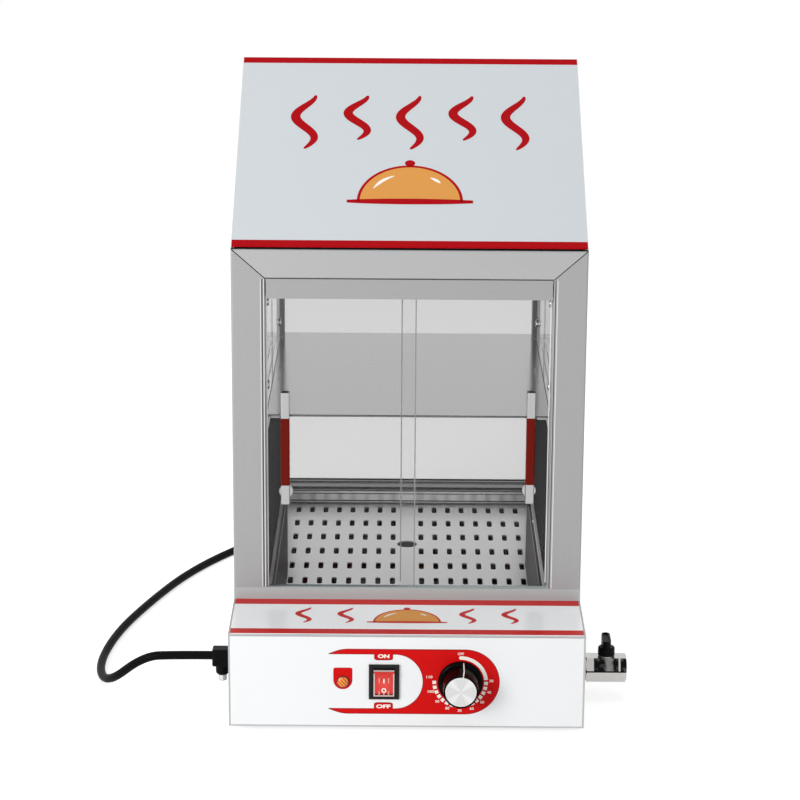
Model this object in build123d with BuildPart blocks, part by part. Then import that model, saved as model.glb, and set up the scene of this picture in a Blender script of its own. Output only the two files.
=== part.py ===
from build123d import *
from math import asin, cos, degrees, hypot, pi, radians, sin, tan
import os

# Counter-top hot dog steamer, as an assembly of separate sub-parts.
# Frame: millimetres, +Z up, the front faces -Y and +X is to the right as seen from the front.
# The origin is the centre of the footprint, on the surface that the four feet stand on.

os.makedirs("parts", exist_ok=True)

# ---------------------------------------------------------------- driving dimensions (mm)

# overall
width = 300.0
depth = 400.0
sheet = 1.2
seam = 0.3
wall_gap = 0.3

# feet and base
foot_height = 6.2
foot_radius = 11.0
foot_taper = 1.5
foot_recess_radius = 4.0
foot_recess_depth = 2.5
foot_inset = 32.0
base_height = 82.5
ledge_depth = 86.0
fold_radius = 1.6
base_flange = 20.0
vent_length = 40.0
vent_width = 4.0
vent_pitch = 10.0
vent_count = 7

# printed panels
overlay_thickness = 0.5
overlay_margin = 1.6

# chamber frame
post_width = 28.5
post_depth = 25.0
tube_radius = 1.5
frame_height = 311.0
top_bar_height = 25.3
sill_height = 10.8
rear_post_width = 31.6
mitre_gap = 0.8

# sliding doors and their tracks
glass = 4.0
glass_edge = 0.4
track_depth = 26.0
track_lip = 3.0
groove = 5.0
door_pitch = 13.5
door_overlap = 12.8
door_end_gap = 0.7
groove_depth = 9.6
rib_step = 3.2
door_floor_gap = 0.3
header_height = 17.9
header_shadow = 0.6
header_shadow_depth = 3.0
header_setback = 2.0
header_groove_depth = 13.0
door_top_gap = 2.8

# door pulls
pull_width = 7.6
pull_core = 5.2
pull_corner = 1.2
pull_end_depth = 9.0
pull_length = 99.0
pull_standoff = 1.2
pull_from_door_bottom = 84.4
left_pull_raise = 2.3
pull_from_door_edge = 15.9
pull_pad_radius = 5.8
pull_pad_offset = 0.4
pull_pad_height = 10.1
grip_length = 59.7
grip_bottom = 16.8

# chamber walls
chamber_wall = 28.0
rear_sill_depth = 39.0
drip_depth = 3.0
drip_groove_width = 8.5
drip_first = 3.0
drip_second = 21.0
rear_glass_inset = 1.6
rear_glass_bite = 4.7
strip_width = 2.4
strip_gap = 0.4
strip_height = 3.0
button_reach = 0.9
button_from_front = 62.0
screw_radius = 4.0
screw_height = 2.4
screw_front_inset = 10.0
screw_rear_inset = 34.0
screw_low = 24.0
screw_high = 98.0

# shelf
shelf_height = 159.3
shelf_thickness = 1.8
shelf_front_inset = 25.5
shelf_rear_gap = 0.4
bracket_leg = 11.0
bracket_sheet = 1.4
window_sill_height = 159.5

# water tank and perforated plate
tank_front = 118.0
tank_wall_gap = 0.6
tank_step = 7.5
tank_floor_height = 14.5
tank_corner = 5.0
tank_rim = 11.0
plate_drop = 2.5
plate_thickness = 1.2
plate_side_clearance = 1.9
plate_rear_clearance = 0.4
plate_front_clearance = 5.0
plate_corner = 4.0
slot_width = 4.6
slot_length = 17.0
slot_pitch_x = 12.95
slot_pitch_y = 40.0
slot_columns = 8
slot_rows = 6
finger_hole_radius = 9.0

# heater
heater_radius = 4.0
heater_height = 25.0
heater_from_well = 41.0
heater_reach = 165.0
heater_bend = 35.0
heater_stub = 24.0
heater_nut = 18.0
heater_nut_length = 6.0

# drain
drain_height = 22.0
drain_from_front = 84.0
drain_from_well = 15.0
drain_pipe_radius = 6.5
drain_pipe_wall = 1.2
drain_bend = 16.0
valve_hex = 22.0
valve_length = 35.5
valve_nut_length = 5.5
valve_neck_length = 0.4
valve_neck_radius = 9.0
valve_nut_clearance = 0.1
valve_chamfer = 1.8
valve_bore = 7.6
valve_bore_depth = 8.4
valve_throat = 5.0
ball_radius = 8.0
ball_hole = 4.6
ball_clearance = 0.35
ball_from_outlet = 17.4
stem_radius = 3.0
stem_clearance = 0.06
stem_engagement = 5.5
stem_end_gap = 0.2
boss_radius = 5.5
boss_height = 0.8
handle_reach = 16.5
handle_width = 7.2
handle_height = 14.2
handle_hub_radius = 7.3
handle_hub_height = 7.5
handle_gap = 0.4
handle_recess = 1.0
handle_rim = 1.6

# controls on the front panel
control_height = 41.2
switch_x = -19.1
bezel_width = 25.5
bezel_height = 31.0
bezel_thickness = 2.4
bezel_chamfer = 0.9
switch_body_width = 21.0
switch_body_height = 26.4
switch_body_depth = 26.0
switch_body_clearance = 0.3
rocker_width = 17.4
rocker_height = 23.2
rocker_clearance = 0.8
rocker_tilt = 9.0
rocker_valley = 3.6
rocker_back = 1.4
rocker_pivot_depth = 3.0
rocker_pin_radius = 1.3
rocker_pin_reach = 1.1
rocker_pin_clearance = 0.05
rocker_pin_play = 0.2
rocker_well_depth = 9.0
lamp_x = -53.7
lamp_radius = 5.3
lamp_flange = 1.0
lamp_dome = 2.2
lamp_body_radius = 4.1
lamp_body_depth = 22.0
knob_x = 45.2
knob_skirt_radius = 18.9
knob_skirt_rim = 1.2
knob_skirt_height = 6.5
knob_waist_radius = 15.6
knob_front_radius = 14.4
knob_height = 22.2
knob_panel_gap = 0.6
knob_cap_radius = 13.0
knob_cap_thickness = 1.4
knob_cap_seat = 1.0
knob_cap_gap = 0.1
pointer_width = 1.6
pointer_radius = 17.9
pointer_lean = 8.0
shaft_radius = 3.0
shaft_clearance = 0.05
shaft_engagement = 9.0
bushing_radius = 4.5
thermostat_width = 36.0
thermostat_height = 30.0
thermostat_depth = 22.0

# roof
shadow_gap = 1.5
shadow_inset = 2.5
roof_height = 127.0
ridge_setback = 207.5
roof_side_inset = 0.2
sign_thickness = 0.6
sign_side_margin = 0.8
sign_end_margin = 0.2

# mains cord on the left
gland_from_front = 60.0
gland_height = 40.2
gland_reach = 17.5
gland_width = 13.5
gland_rise = 7.0
gland_drop = 8.5
gland_corner = 2.0
gland_boss_radius = 5.8
gland_boss_drop = 8.5
gland_boss_x = 9.0
gland_spigot_length = 3.0
gland_spigot_clearance = 0.2
gland_hole = 6.0
gland_screw_radius = 3.8
gland_screw_length = 5.0
cord_diameter = 7.5
cord_rest_gap = 0.05
coil_radius = 41.25
coil_x = 12.0
coil_y = 292.0
coil_lead = 58.0
coil_tail = 66.0
coil_layers = 2
plug_radius = 19.5
plug_height = 22.0
plug_relief_length = 24.0
plug_relief_radius = 8.0
plug_relief_end = 5.4
plug_flat = 3.0
plug_notch = 6.0
plug_notch_depth = 16.0
plug_pin_radius = 2.4
plug_pin_length = 19.0
plug_pin_spacing = 19.0

# ---------------------------------------------------------------- derived positions

half_width = width / 2
chamber_half_width = half_width - chamber_wall
front_y = -depth / 2
rear_y = depth / 2
base_bottom = foot_height - sheet
base_top = base_bottom + base_height
frame_front = front_y + ledge_depth
frame_top = base_top + frame_height
sill_top = base_top + sill_height
opening_top = frame_top - top_bar_height
post_inner = half_width - post_width
post_rear = frame_front + post_depth
rear_post_front = rear_y - post_depth
rear_post_inner = half_width - rear_post_width
track_rear = frame_front + track_depth
wall_front = track_rear + wall_gap
wall_rear = rear_post_front - wall_gap
side_sill_inner = chamber_half_width + sheet + wall_gap

front_groove_y = frame_front + track_lip + groove / 2
rear_groove_y = front_groove_y + door_pitch
groove_floor = sill_top - groove_depth
header_bottom = opening_top - header_height
door_bottom = groove_floor + door_floor_gap
door_top = header_bottom + header_groove_depth - door_top_gap
door_outer = post_inner - door_end_gap
door_inner = door_overlap / 2
pull_x = door_outer - pull_from_door_edge
pull_half = pull_width / 2
pull_bottom = door_bottom + pull_from_door_bottom

shelf_top = base_top + shelf_height
shelf_bottom = shelf_top - shelf_thickness
window_sill_top = base_top + window_sill_height
rear_glass_y = rear_y - rear_glass_inset - glass
rear_sill_front = rear_y - rear_sill_depth

tank_front_y = front_y + tank_front
tank_rear_y = rear_sill_front
tank_opening_half = chamber_half_width - strip_gap - strip_width
tank_half = tank_opening_half - tank_wall_gap
tank_rim_top = base_top - sheet
plate_top = base_top - plate_drop
plate_bottom = plate_top - plate_thickness
plate_half = tank_opening_half - plate_side_clearance
plate_front = tank_front_y + plate_front_clearance
plate_rear = tank_rear_y - plate_rear_clearance
well_half = tank_half - tank_step
heater_half_width = well_half - heater_from_well
drain_x = well_half - drain_from_well
well_front = tank_front_y + tank_step
well_rear = tank_rear_y - tank_step
well_floor = base_bottom + tank_floor_height
heater_z = base_bottom + heater_height

panel_face = front_y - overlay_thickness
controls_z = base_bottom + control_height
drain_z = base_bottom + drain_height
drain_y = front_y + drain_from_front
valve_start = half_width + valve_nut_length + valve_neck_length
valve_end = valve_start + valve_length
ball_x = valve_end - ball_from_outlet
boss_top = drain_z + valve_hex / 2 + boss_height
handle_bottom = boss_top + handle_gap

ceiling_top = frame_top + shadow_gap
ridge_y = frame_front + ridge_setback
ridge_z = ceiling_top + roof_height

gland_y = front_y + gland_from_front
gland_z = base_bottom + gland_height
gland_end_x = -half_width - gland_reach
cord_radius = cord_diameter / 2
cord_z = cord_radius + cord_rest_gap
coil_turns = coil_layers**2
coil_entry_x = coil_x - coil_lead
coil_entry_y = coil_y + coil_radius + cord_radius * (coil_layers - 1)
cord_route = [
    (gland_end_x, gland_y, gland_z),
    (-208.0, gland_y, gland_z),
    (-258.0, -118.0, 10.0),
    (-276.0, -62.0, cord_z),
    (-268.0, 20.0, cord_z),
    (-244.0, 105.0, cord_z),
    (-214.0, 188.0, cord_z),
    (-170.0, 262.0, cord_z),
    (coil_entry_x - 62.0, coil_entry_y, cord_z),
    (coil_entry_x, coil_entry_y, cord_z),
]


# ---------------------------------------------------------------- helpers

def block(x, y, z, mode=Mode.ADD):
    """Rectangular block between (low, high) limits on each axis, in the part being built."""
    with Locations(((x[0] + x[1]) / 2, (y[0] + y[1]) / 2, (z[0] + z[1]) / 2)):
        Box(abs(x[1] - x[0]), y[1] - y[0], z[1] - z[0], mode=mode)


def cross_plane(x):
    """Sketch plane across the width at x: its own x runs along +Y and its own y along +Z."""
    return Plane.YZ.offset(x)


def facing_plane(y):
    """Sketch plane facing the front at y: its own x runs along +X and its own y along +Z."""
    return Plane.XZ.offset(-y)


def turned_plane(x, y, z):
    """Sketch plane for turned parts with a fore-and-aft axis: its own y points to the front."""
    return Plane(origin=(x, y, z), x_dir=(1, 0, 0), z_dir=(0, 0, -1))


def fold_section(corner, leg_u, leg_v, thickness=sheet, radius=fold_radius):
    """Section of a sheet folded once. The signed legs leave the outer corner along u and v."""
    u, v = corner
    inside = (u + (thickness if leg_u > 0 else -thickness), v + (thickness if leg_v > 0 else -thickness))
    align_u = Align.MIN if leg_u > 0 else Align.MAX
    align_v = Align.MIN if leg_v > 0 else Align.MAX
    with BuildSketch() as section:
        with Locations(corner):
            Rectangle(abs(leg_u), abs(leg_v), align=(align_u, align_v))
        with Locations(inside):
            Rectangle(abs(leg_u), abs(leg_v), align=(align_u, align_v), mode=Mode.SUBTRACT)
        fillet(section.vertices().sort_by_distance((u, v, 0))[0], radius)
        if radius > thickness:
            fillet(section.vertices().sort_by_distance((*inside, 0))[0], radius - thickness)
    return section.sketch


def dome_arc(radius, base, rise):
    """Arc of a low dome from (radius, base) up to (0, base + rise), in the active line."""
    curve = (radius**2 + rise**2) / (2 * rise)
    start = degrees(asin((curve - rise) / curve))
    return CenterArc((0, base + rise - curve), curve, start, 90 - start)


def tube_section(size_u, size_v, centre):
    """Section of a rectangular sheet-metal tube with rounded corners."""
    with BuildSketch() as section:
        with Locations(centre):
            RectangleRounded(size_u, size_v, tube_radius)
            Rectangle(size_u - 2 * sheet, size_v - 2 * sheet, mode=Mode.SUBTRACT)
    return section.sketch


def mitre_plane(side, post, shift):
    """Plane of the corner joint between a post and a top bar, moved along its normal."""
    across = Plane(
        origin=(side * half_width, 0, frame_top),
        x_dir=(0, 1, 0),
        z_dir=(-side * top_bar_height, 0, post),
    )
    return across.offset(shift)


def save(piece, node):
    """Label a finished sub-part and write its STEP file."""
    piece.part.label = node
    export_step(piece.part, f"parts/{node}.step")


# ---------------------------------------------------------------- base

def base_front():
    """Folded sheet: the front face and the ledge above it, with the control cut-outs."""
    section = fold_section((front_y, base_top), ledge_depth, -base_height)
    with BuildPart() as piece:
        with BuildSketch(cross_plane(-half_width)):
            add(section)
        extrude(amount=width)
        with BuildSketch(facing_plane(front_y)):
            control_holes()
        extrude(amount=-sheet, mode=Mode.SUBTRACT)
    return piece


def control_holes(mode=Mode.ADD):
    """Holes for the switch body, the lamp and the thermostat bushing, in the active sketch."""
    with Locations((switch_x, controls_z)):
        Rectangle(
            switch_body_width + 2 * switch_body_clearance,
            switch_body_height + 2 * switch_body_clearance,
            mode=mode,
        )
    with Locations((lamp_x, controls_z)):
        Circle(lamp_body_radius + wall_gap, mode=mode)
    with Locations((knob_x, controls_z)):
        Circle(bushing_radius + wall_gap, mode=mode)


def base_side(side):
    """Side sheet of the base with its bottom flange, and the hole for the cord or the drain."""
    section = fold_section(
        (side * half_width, base_bottom), -side * base_flange, base_height - sheet, radius=sheet
    )
    hole = (drain_y, drain_z) if side > 0 else (gland_y, gland_z)
    hole_radius = drain_pipe_radius + wall_gap if side > 0 else gland_hole
    with BuildPart() as piece:
        with BuildSketch(facing_plane(front_y + fold_radius)):
            add(section)
        extrude(amount=-(depth - fold_radius - sheet))
        with BuildSketch(cross_plane(side * half_width)):
            with Locations(hole):
                Circle(hole_radius)
        extrude(amount=-side * sheet, mode=Mode.SUBTRACT)
    return piece


def base_rear():
    """Rear sheet of the base with a row of upright vent slots."""
    with BuildPart() as piece:
        with BuildSketch(facing_plane(rear_y)):
            with Locations((0, base_bottom)):
                Rectangle(width, base_height - sheet, align=(Align.CENTER, Align.MIN))
            with Locations((0, base_bottom + base_height / 2)):
                with GridLocations(vent_pitch, 1, vent_count, 1):
                    SlotOverall(vent_length, vent_width, rotation=90, mode=Mode.SUBTRACT)
        extrude(amount=sheet)
    return piece


def base_deck():
    """Top sheet of the base under the chamber, cut open over the tank."""
    with BuildPart() as piece:
        with BuildSketch(Plane.XY.offset(base_top - sheet)):
            with Locations((0, (frame_front + rear_y) / 2)):
                Rectangle(width, rear_y - frame_front)
            with Locations((0, (tank_front_y + tank_rear_y) / 2)):
                Rectangle(2 * tank_opening_half, tank_rear_y - tank_front_y, mode=Mode.SUBTRACT)
        extrude(amount=sheet)
    return piece


def base_plate():
    """Bottom plate lying on the side flanges, with vents under the electrics."""
    with BuildPart() as piece:
        with BuildSketch(Plane.XY.offset(foot_height)):
            Rectangle(width - 2 * (sheet + seam), depth - 2 * (sheet + seam))
            with Locations((0, front_y + ledge_depth / 2)):
                with GridLocations(vent_pitch, 1, vent_count, 1):
                    SlotOverall(vent_length, vent_width, rotation=90, mode=Mode.SUBTRACT)
        extrude(amount=sheet)
    return piece


def feet():
    """Four tapered rubber feet, each with a recess for its screw."""
    spread_x = width - 2 * foot_inset
    spread_y = depth - 2 * foot_inset
    upright = (Align.CENTER, Align.CENTER, Align.MIN)
    with BuildPart() as piece:
        with GridLocations(spread_x, spread_y, 2, 2):
            Cone(foot_radius - foot_taper, foot_radius, foot_height, align=upright)
            Cylinder(foot_recess_radius, foot_recess_depth, align=upright, mode=Mode.SUBTRACT)
    return piece


def front_overlay():
    """Printed panel on the front face, with the same control holes."""
    low = base_bottom + overlay_margin
    high = base_top - fold_radius
    with BuildPart() as piece:
        with BuildSketch(facing_plane(front_y)):
            with Locations((0, (low + high) / 2)):
                Rectangle(width - 2 * overlay_margin, high - low)
            control_holes(mode=Mode.SUBTRACT)
        extrude(amount=overlay_thickness)
    return piece


def ledge_overlay():
    """Printed panel on the ledge."""
    low = front_y + fold_radius
    high = frame_front - seam
    with BuildPart() as piece:
        with BuildSketch(Plane.XY.offset(base_top)):
            with Locations((0, (low + high) / 2)):
                Rectangle(width - 2 * overlay_margin, high - low)
        extrude(amount=overlay_thickness)
    return piece


# ---------------------------------------------------------------- tank, plate, heater

def water_tank():
    """Folded tank: a rim under the deck, a step that the plate lies on, and a well."""
    middle_y = (tank_front_y + tank_rear_y) / 2
    length = tank_rear_y - tank_front_y
    well_length = well_rear - well_front
    step_z = plate_bottom
    with BuildPart() as piece:
        with BuildSketch(Plane.XY.offset(tank_rim_top)):
            with Locations((0, middle_y)):
                RectangleRounded(2 * (tank_half + tank_rim), length + 2 * tank_rim - sheet, tank_corner)
        extrude(amount=-sheet)
        with BuildSketch(Plane.XY.offset(tank_rim_top)):
            with Locations((0, middle_y)):
                Rectangle(2 * (tank_half + sheet), length + 2 * sheet)
        extrude(amount=-(tank_rim_top - step_z + sheet))
        with BuildSketch(Plane.XY.offset(step_z)):
            with Locations((0, middle_y)):
                RectangleRounded(2 * (well_half + sheet), well_length + 2 * sheet, tank_corner + sheet)
        extrude(amount=-(step_z - well_floor + sheet))
        fillet(piece.faces().sort_by(Axis.Z)[0].edges(), tank_corner + sheet - 1)
        with BuildSketch(Plane.XY.offset(tank_rim_top)):
            with Locations((0, middle_y)):
                Rectangle(2 * tank_half, length)
        extrude(amount=-(tank_rim_top - step_z), mode=Mode.SUBTRACT)
        add(tank_well(middle_y, well_length), mode=Mode.SUBTRACT)
        with BuildSketch(facing_plane(well_front - sheet)):
            with Locations((-heater_half_width, heater_z), (heater_half_width, heater_z)):
                Circle(heater_radius + wall_gap)
            with Locations((drain_x, drain_z)):
                Circle(drain_pipe_radius - drain_pipe_wall)
        extrude(amount=-(tank_corner + sheet), mode=Mode.SUBTRACT)
    return piece


def tank_well(middle_y, well_length):
    """The inside of the well, with its rounded floor, as a tool for cutting."""
    with BuildPart(mode=Mode.PRIVATE) as tool:
        with BuildSketch(Plane.XY.offset(well_floor)):
            with Locations((0, middle_y)):
                RectangleRounded(2 * well_half, well_length, tank_corner)
        extrude(amount=plate_bottom - well_floor)
        fillet(tool.faces().sort_by(Axis.Z)[0].edges(), tank_corner - 1)
    return tool.part


def perforated_plate():
    """Lift-out plate with rows of long slots either side of a finger hole."""
    middle_y = (plate_front + plate_rear) / 2
    with BuildPart() as piece:
        with BuildSketch(Plane.XY.offset(plate_bottom)):
            with Locations((0, middle_y)):
                RectangleRounded(2 * plate_half, plate_rear - plate_front, plate_corner)
                for side in (-1, 1):
                    with Locations((side * slot_pitch_x * (slot_columns + 1) / 2, 0)):
                        with GridLocations(slot_pitch_x, slot_pitch_y, slot_columns, slot_rows):
                            SlotOverall(slot_length, slot_width, rotation=90, mode=Mode.SUBTRACT)
                Circle(finger_hole_radius, mode=Mode.SUBTRACT)
        extrude(amount=plate_thickness)
    return piece


def plate_guides():
    """Strips on the deck at the foot of each wall; the right one has a small button."""
    with BuildPart() as piece:
        for side in (-1, 1):
            limits = sorted((side * tank_opening_half, side * (tank_opening_half + strip_width)))
            block(limits, (wall_front, tank_rear_y - wall_gap), (base_top, base_top + strip_height))
        button = Plane(
            origin=(tank_opening_half, tank_rear_y - button_from_front, base_top + strip_height / 2),
            x_dir=(0, 1, 0),
            z_dir=(-1, 0, 0),
        )
        with BuildSketch(button):
            Circle(strip_height / 2)
        extrude(amount=button_reach)
    return piece


def heating_element():
    """Tubular heater: one U lying over the tank floor, with a gland nut on each leg."""
    start_y = well_front - sheet - heater_stub
    turn_y = well_front + heater_reach
    with BuildPart() as piece:
        with BuildLine():
            route = FilletPolyline(
                (-heater_half_width, start_y, heater_z),
                (-heater_half_width, turn_y, heater_z),
                (heater_half_width, turn_y, heater_z),
                (heater_half_width, start_y, heater_z),
                radius=heater_bend,
            )
        with BuildSketch(Plane(origin=route @ 0, z_dir=route % 0)):
            Circle(heater_radius)
        sweep()
        with BuildSketch(facing_plane(well_front - sheet)):
            with Locations((-heater_half_width, heater_z), (heater_half_width, heater_z)):
                RegularPolygon(heater_nut / 2, 6, major_radius=False)
        extrude(amount=heater_nut_length)
    return piece


# ---------------------------------------------------------------- drain

def drain_pipe():
    """Bent pipe from the tank's front wall to the drain tap outside."""
    with BuildPart() as piece:
        with BuildLine():
            route = FilletPolyline(
                (drain_x, well_front - sheet, drain_z),
                (drain_x, drain_y, drain_z),
                (valve_start, drain_y, drain_z),
                radius=drain_bend,
            )
        with BuildSketch(Plane(origin=route @ 0, z_dir=route % 0)):
            Circle(drain_pipe_radius)
            Circle(drain_pipe_radius - drain_pipe_wall, mode=Mode.SUBTRACT)
        sweep()
    return piece


def hex_envelope():
    """Turned envelope of the hexagon bar: a cylinder with both ends chamfered."""
    corner_radius = valve_hex / 2 / cos(radians(30))
    with BuildPart() as envelope:
        with BuildSketch(cross_plane(valve_start)):
            with Locations((drain_y, drain_z)):
                Circle(corner_radius)
        extrude(amount=valve_length)
        ends = envelope.edges().filter_by(GeomType.CIRCLE)
        chamfer(ends, length=valve_chamfer / 2, length2=valve_chamfer)
    return envelope.part


def drain_valve():
    """Ball valve body cut from hexagon bar: locknut, neck, barrel with its bore, stem boss."""
    envelope = hex_envelope()
    with BuildPart() as piece:
        with BuildSketch(cross_plane(valve_start)):
            with Locations((drain_y, drain_z)):
                RegularPolygon(valve_hex / 2, 6, major_radius=False)
        extrude(amount=valve_length)
        add(envelope, mode=Mode.INTERSECT)
        with BuildSketch(cross_plane(half_width)):
            with Locations((drain_y, drain_z)):
                RegularPolygon(valve_hex / 2, 6, major_radius=False)
        extrude(amount=valve_nut_length)
        with BuildSketch(cross_plane(half_width)):
            with Locations((drain_y, drain_z)):
                Circle(valve_neck_radius)
        extrude(amount=valve_nut_length + 2 * valve_neck_length)
        with BuildSketch(Plane.XY.offset(drain_z)):
            with Locations((ball_x, drain_y)):
                Circle(boss_radius)
        extrude(amount=valve_hex / 2 + boss_height)
        with BuildSketch(cross_plane(half_width)):
            with Locations((drain_y, drain_z)):
                Circle(drain_pipe_radius + valve_nut_clearance)
        extrude(amount=valve_start - half_width, mode=Mode.SUBTRACT)
        with BuildSketch(cross_plane(half_width)):
            with Locations((drain_y, drain_z)):
                Circle(valve_throat)
        extrude(amount=valve_end - half_width, mode=Mode.SUBTRACT)
        with BuildSketch(cross_plane(valve_end)):
            with Locations((drain_y, drain_z)):
                Circle(valve_bore)
        extrude(amount=-valve_bore_depth, mode=Mode.SUBTRACT)
        with Locations((ball_x, drain_y, drain_z)):
            Sphere(ball_radius + ball_clearance, mode=Mode.SUBTRACT)
        with BuildSketch(Plane.XY.offset(drain_z)):
            with Locations((ball_x, drain_y)):
                Circle(stem_radius + stem_clearance)
        extrude(amount=valve_hex, mode=Mode.SUBTRACT)
    return piece


def valve_ball():
    """Ball with its through hole, and the stem that the handle turns; shut at rest."""
    with BuildPart() as piece:
        with Locations((ball_x, drain_y, drain_z)):
            Sphere(ball_radius)
        with BuildSketch(Plane.XY.offset(drain_z)):
            with Locations((ball_x, drain_y)):
                Circle(stem_radius)
        extrude(amount=handle_bottom + stem_engagement - drain_z)
        with BuildSketch(facing_plane(drain_y + ball_radius)):
            with Locations((ball_x, drain_z)):
                Circle(ball_hole)
        extrude(amount=2 * ball_radius, mode=Mode.SUBTRACT)
    return piece


def valve_handle():
    """Lever handle: a round hub under a tall bar that reaches out behind it, hollowed at its top."""
    bar = (ball_x, drain_y + (handle_reach - handle_hub_radius) / 2)
    bar_length = handle_reach + handle_hub_radius
    with BuildPart() as piece:
        with BuildSketch(Plane.XY.offset(handle_bottom)):
            with Locations((ball_x, drain_y)):
                Circle(handle_hub_radius)
        extrude(amount=handle_hub_height)
        fillet(piece.faces().sort_by(Axis.Z)[-1].edges(), handle_rim)
        with BuildSketch(Plane.XY.offset(handle_bottom)):
            with Locations(bar):
                SlotOverall(bar_length, handle_width, rotation=90)
        extrude(amount=handle_height)
        with BuildSketch(Plane.XY.offset(handle_bottom + handle_height)):
            with Locations(bar):
                SlotOverall(bar_length - 2 * handle_rim, handle_width - 2 * handle_rim, rotation=90)
        extrude(amount=-handle_recess, mode=Mode.SUBTRACT)
        with BuildSketch(Plane.XY.offset(handle_bottom)):
            with Locations((ball_x, drain_y)):
                Circle(stem_radius + stem_clearance)
        extrude(amount=stem_engagement + stem_end_gap, mode=Mode.SUBTRACT)
    return piece


# ---------------------------------------------------------------- chamber frame

def upright_post(side, post, front, bottom):
    """Corner post: a rectangular tube cut to the mitre of its top corner."""
    centre = (side * (half_width - post / 2), front + post_depth / 2)
    section = tube_section(post, post_depth, centre)
    with BuildPart() as piece:
        with BuildSketch(Plane.XY.offset(bottom)):
            add(section)
        extrude(amount=frame_top - bottom)
        split(bisect_by=mitre_plane(side, post, -mitre_gap / 2), keep=Keep.BOTTOM)
    return piece


def cross_bar(post, front):
    """Top bar between two posts, mitred at both ends."""
    centre = (front + post_depth / 2, frame_top - top_bar_height / 2)
    section = tube_section(post_depth, top_bar_height, centre)
    with BuildPart() as piece:
        with BuildSketch(cross_plane(-half_width)):
            add(section)
        extrude(amount=width)
        for side in (-1, 1):
            split(bisect_by=mitre_plane(side, post, mitre_gap / 2), keep=Keep.TOP)
    return piece


def side_rail(side):
    """Top rail along one side, between the front and rear posts."""
    centre = (side * (half_width - post_width / 2), frame_top - top_bar_height / 2)
    section = tube_section(post_width, top_bar_height, centre)
    with BuildPart() as piece:
        with BuildSketch(facing_plane(post_rear + seam)):
            add(section)
        extrude(amount=-(rear_post_front - post_rear - 2 * seam))
    return piece


def side_sill(side):
    """Bottom rail along one side, from the front sill to the back."""
    rail_width = half_width - side_sill_inner
    centre = (side * (half_width - rail_width / 2), base_top + sill_height / 2)
    section = tube_section(rail_width, sill_height, centre)
    with BuildPart() as piece:
        with BuildSketch(facing_plane(track_rear + seam)):
            add(section)
        extrude(amount=-(rear_y - track_rear - seam))
    return piece


def front_sill():
    """Full-width sill under the front posts: a lip, then door grooves between ribs that step down."""
    half_groove = groove / 2
    cuts = [
        (front_groove_y - half_groove, front_groove_y + half_groove, groove_floor),
        (front_groove_y + half_groove, rear_groove_y - half_groove, sill_top - rib_step),
        (rear_groove_y - half_groove, rear_groove_y + half_groove, groove_floor),
        (rear_groove_y + half_groove, track_rear, sill_top - 2 * rib_step),
    ]
    with BuildPart() as piece:
        block((-half_width, half_width), (frame_front, track_rear), (base_top, sill_top))
        for start, end, floor in cuts:
            block((-post_inner, post_inner), (start, end), (floor, sill_top), mode=Mode.SUBTRACT)
    return piece


def door_header():
    """Upper door track under the top bar: a smaller face plate, set back, leaves a shadow line."""
    reach = post_inner - seam
    top = opening_top - seam
    face = frame_front + header_setback
    face_rear = face + header_shadow_depth
    with BuildPart() as piece:
        block((-reach, reach), (face_rear, track_rear), (header_bottom, top))
        block(
            (-reach + header_shadow, reach - header_shadow),
            (face, face_rear),
            (header_bottom, top - header_shadow),
        )
        for middle in (front_groove_y, rear_groove_y):
            block(
                (-reach, reach),
                (middle - groove / 2, middle + groove / 2),
                (header_bottom, header_bottom + header_groove_depth),
                mode=Mode.SUBTRACT,
            )
    return piece


def rear_sill():
    """Rear sill with two drip channels and the groove that holds the rear glass."""
    reach = chamber_half_width - wall_gap
    channels = [
        (rear_sill_front + drip_first, drip_groove_width, drip_depth),
        (rear_sill_front + drip_second, drip_groove_width, drip_depth),
        (rear_glass_y - wall_gap, glass + 2 * wall_gap, rear_glass_bite + wall_gap),
    ]
    with BuildPart() as piece:
        with BuildSketch(cross_plane(-reach)) as section:
            with Locations((rear_sill_front, base_top)):
                Rectangle(rear_sill_depth, sill_height, align=Align.MIN)
            for start, size, drop in channels:
                with Locations((start, sill_top)):
                    Rectangle(size, drop, align=(Align.MIN, Align.MAX), mode=Mode.SUBTRACT)
            nose = section.vertices().sort_by_distance((rear_sill_front, sill_top, 0))[0]
            fillet(nose, fold_radius)
        extrude(amount=2 * reach)
    return piece


# ---------------------------------------------------------------- chamber walls

def liner(side):
    """Inner wall of the lower compartment."""
    limits = sorted((side * chamber_half_width, side * (chamber_half_width + sheet)))
    with BuildPart() as piece:
        block(limits, (wall_front, wall_rear), (base_top, shelf_top - seam))
    return piece


def side_panel(side):
    """Outer skin of the lower compartment, folded in at the top as the window's sill."""
    section = fold_section(
        (side * half_width, window_sill_top),
        -side * (half_width - side_sill_inner),
        -(window_sill_top - sill_top),
    )
    with BuildPart() as piece:
        with BuildSketch(facing_plane(post_rear + seam)):
            add(section)
        extrude(amount=-(rear_post_front - post_rear - 2 * seam))
    return piece


def glass_pane(plane, size_u, size_v):
    """Flat pane with ground edges, centred on the plane and standing out along its normal."""
    with BuildPart() as piece:
        with BuildSketch(plane):
            Rectangle(size_u, size_v)
        extrude(amount=glass)
        chamfer(piece.edges(), glass_edge)
    return piece


def side_window(side):
    """Side pane of the upper compartment."""
    low = window_sill_top + seam
    high = opening_top - seam
    plane = Plane(
        origin=(side * chamber_half_width, (wall_front + wall_rear) / 2, (low + high) / 2),
        x_dir=(0, side, 0),
        z_dir=(side, 0, 0),
    )
    return glass_pane(plane, wall_rear - wall_front, high - low)


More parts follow.
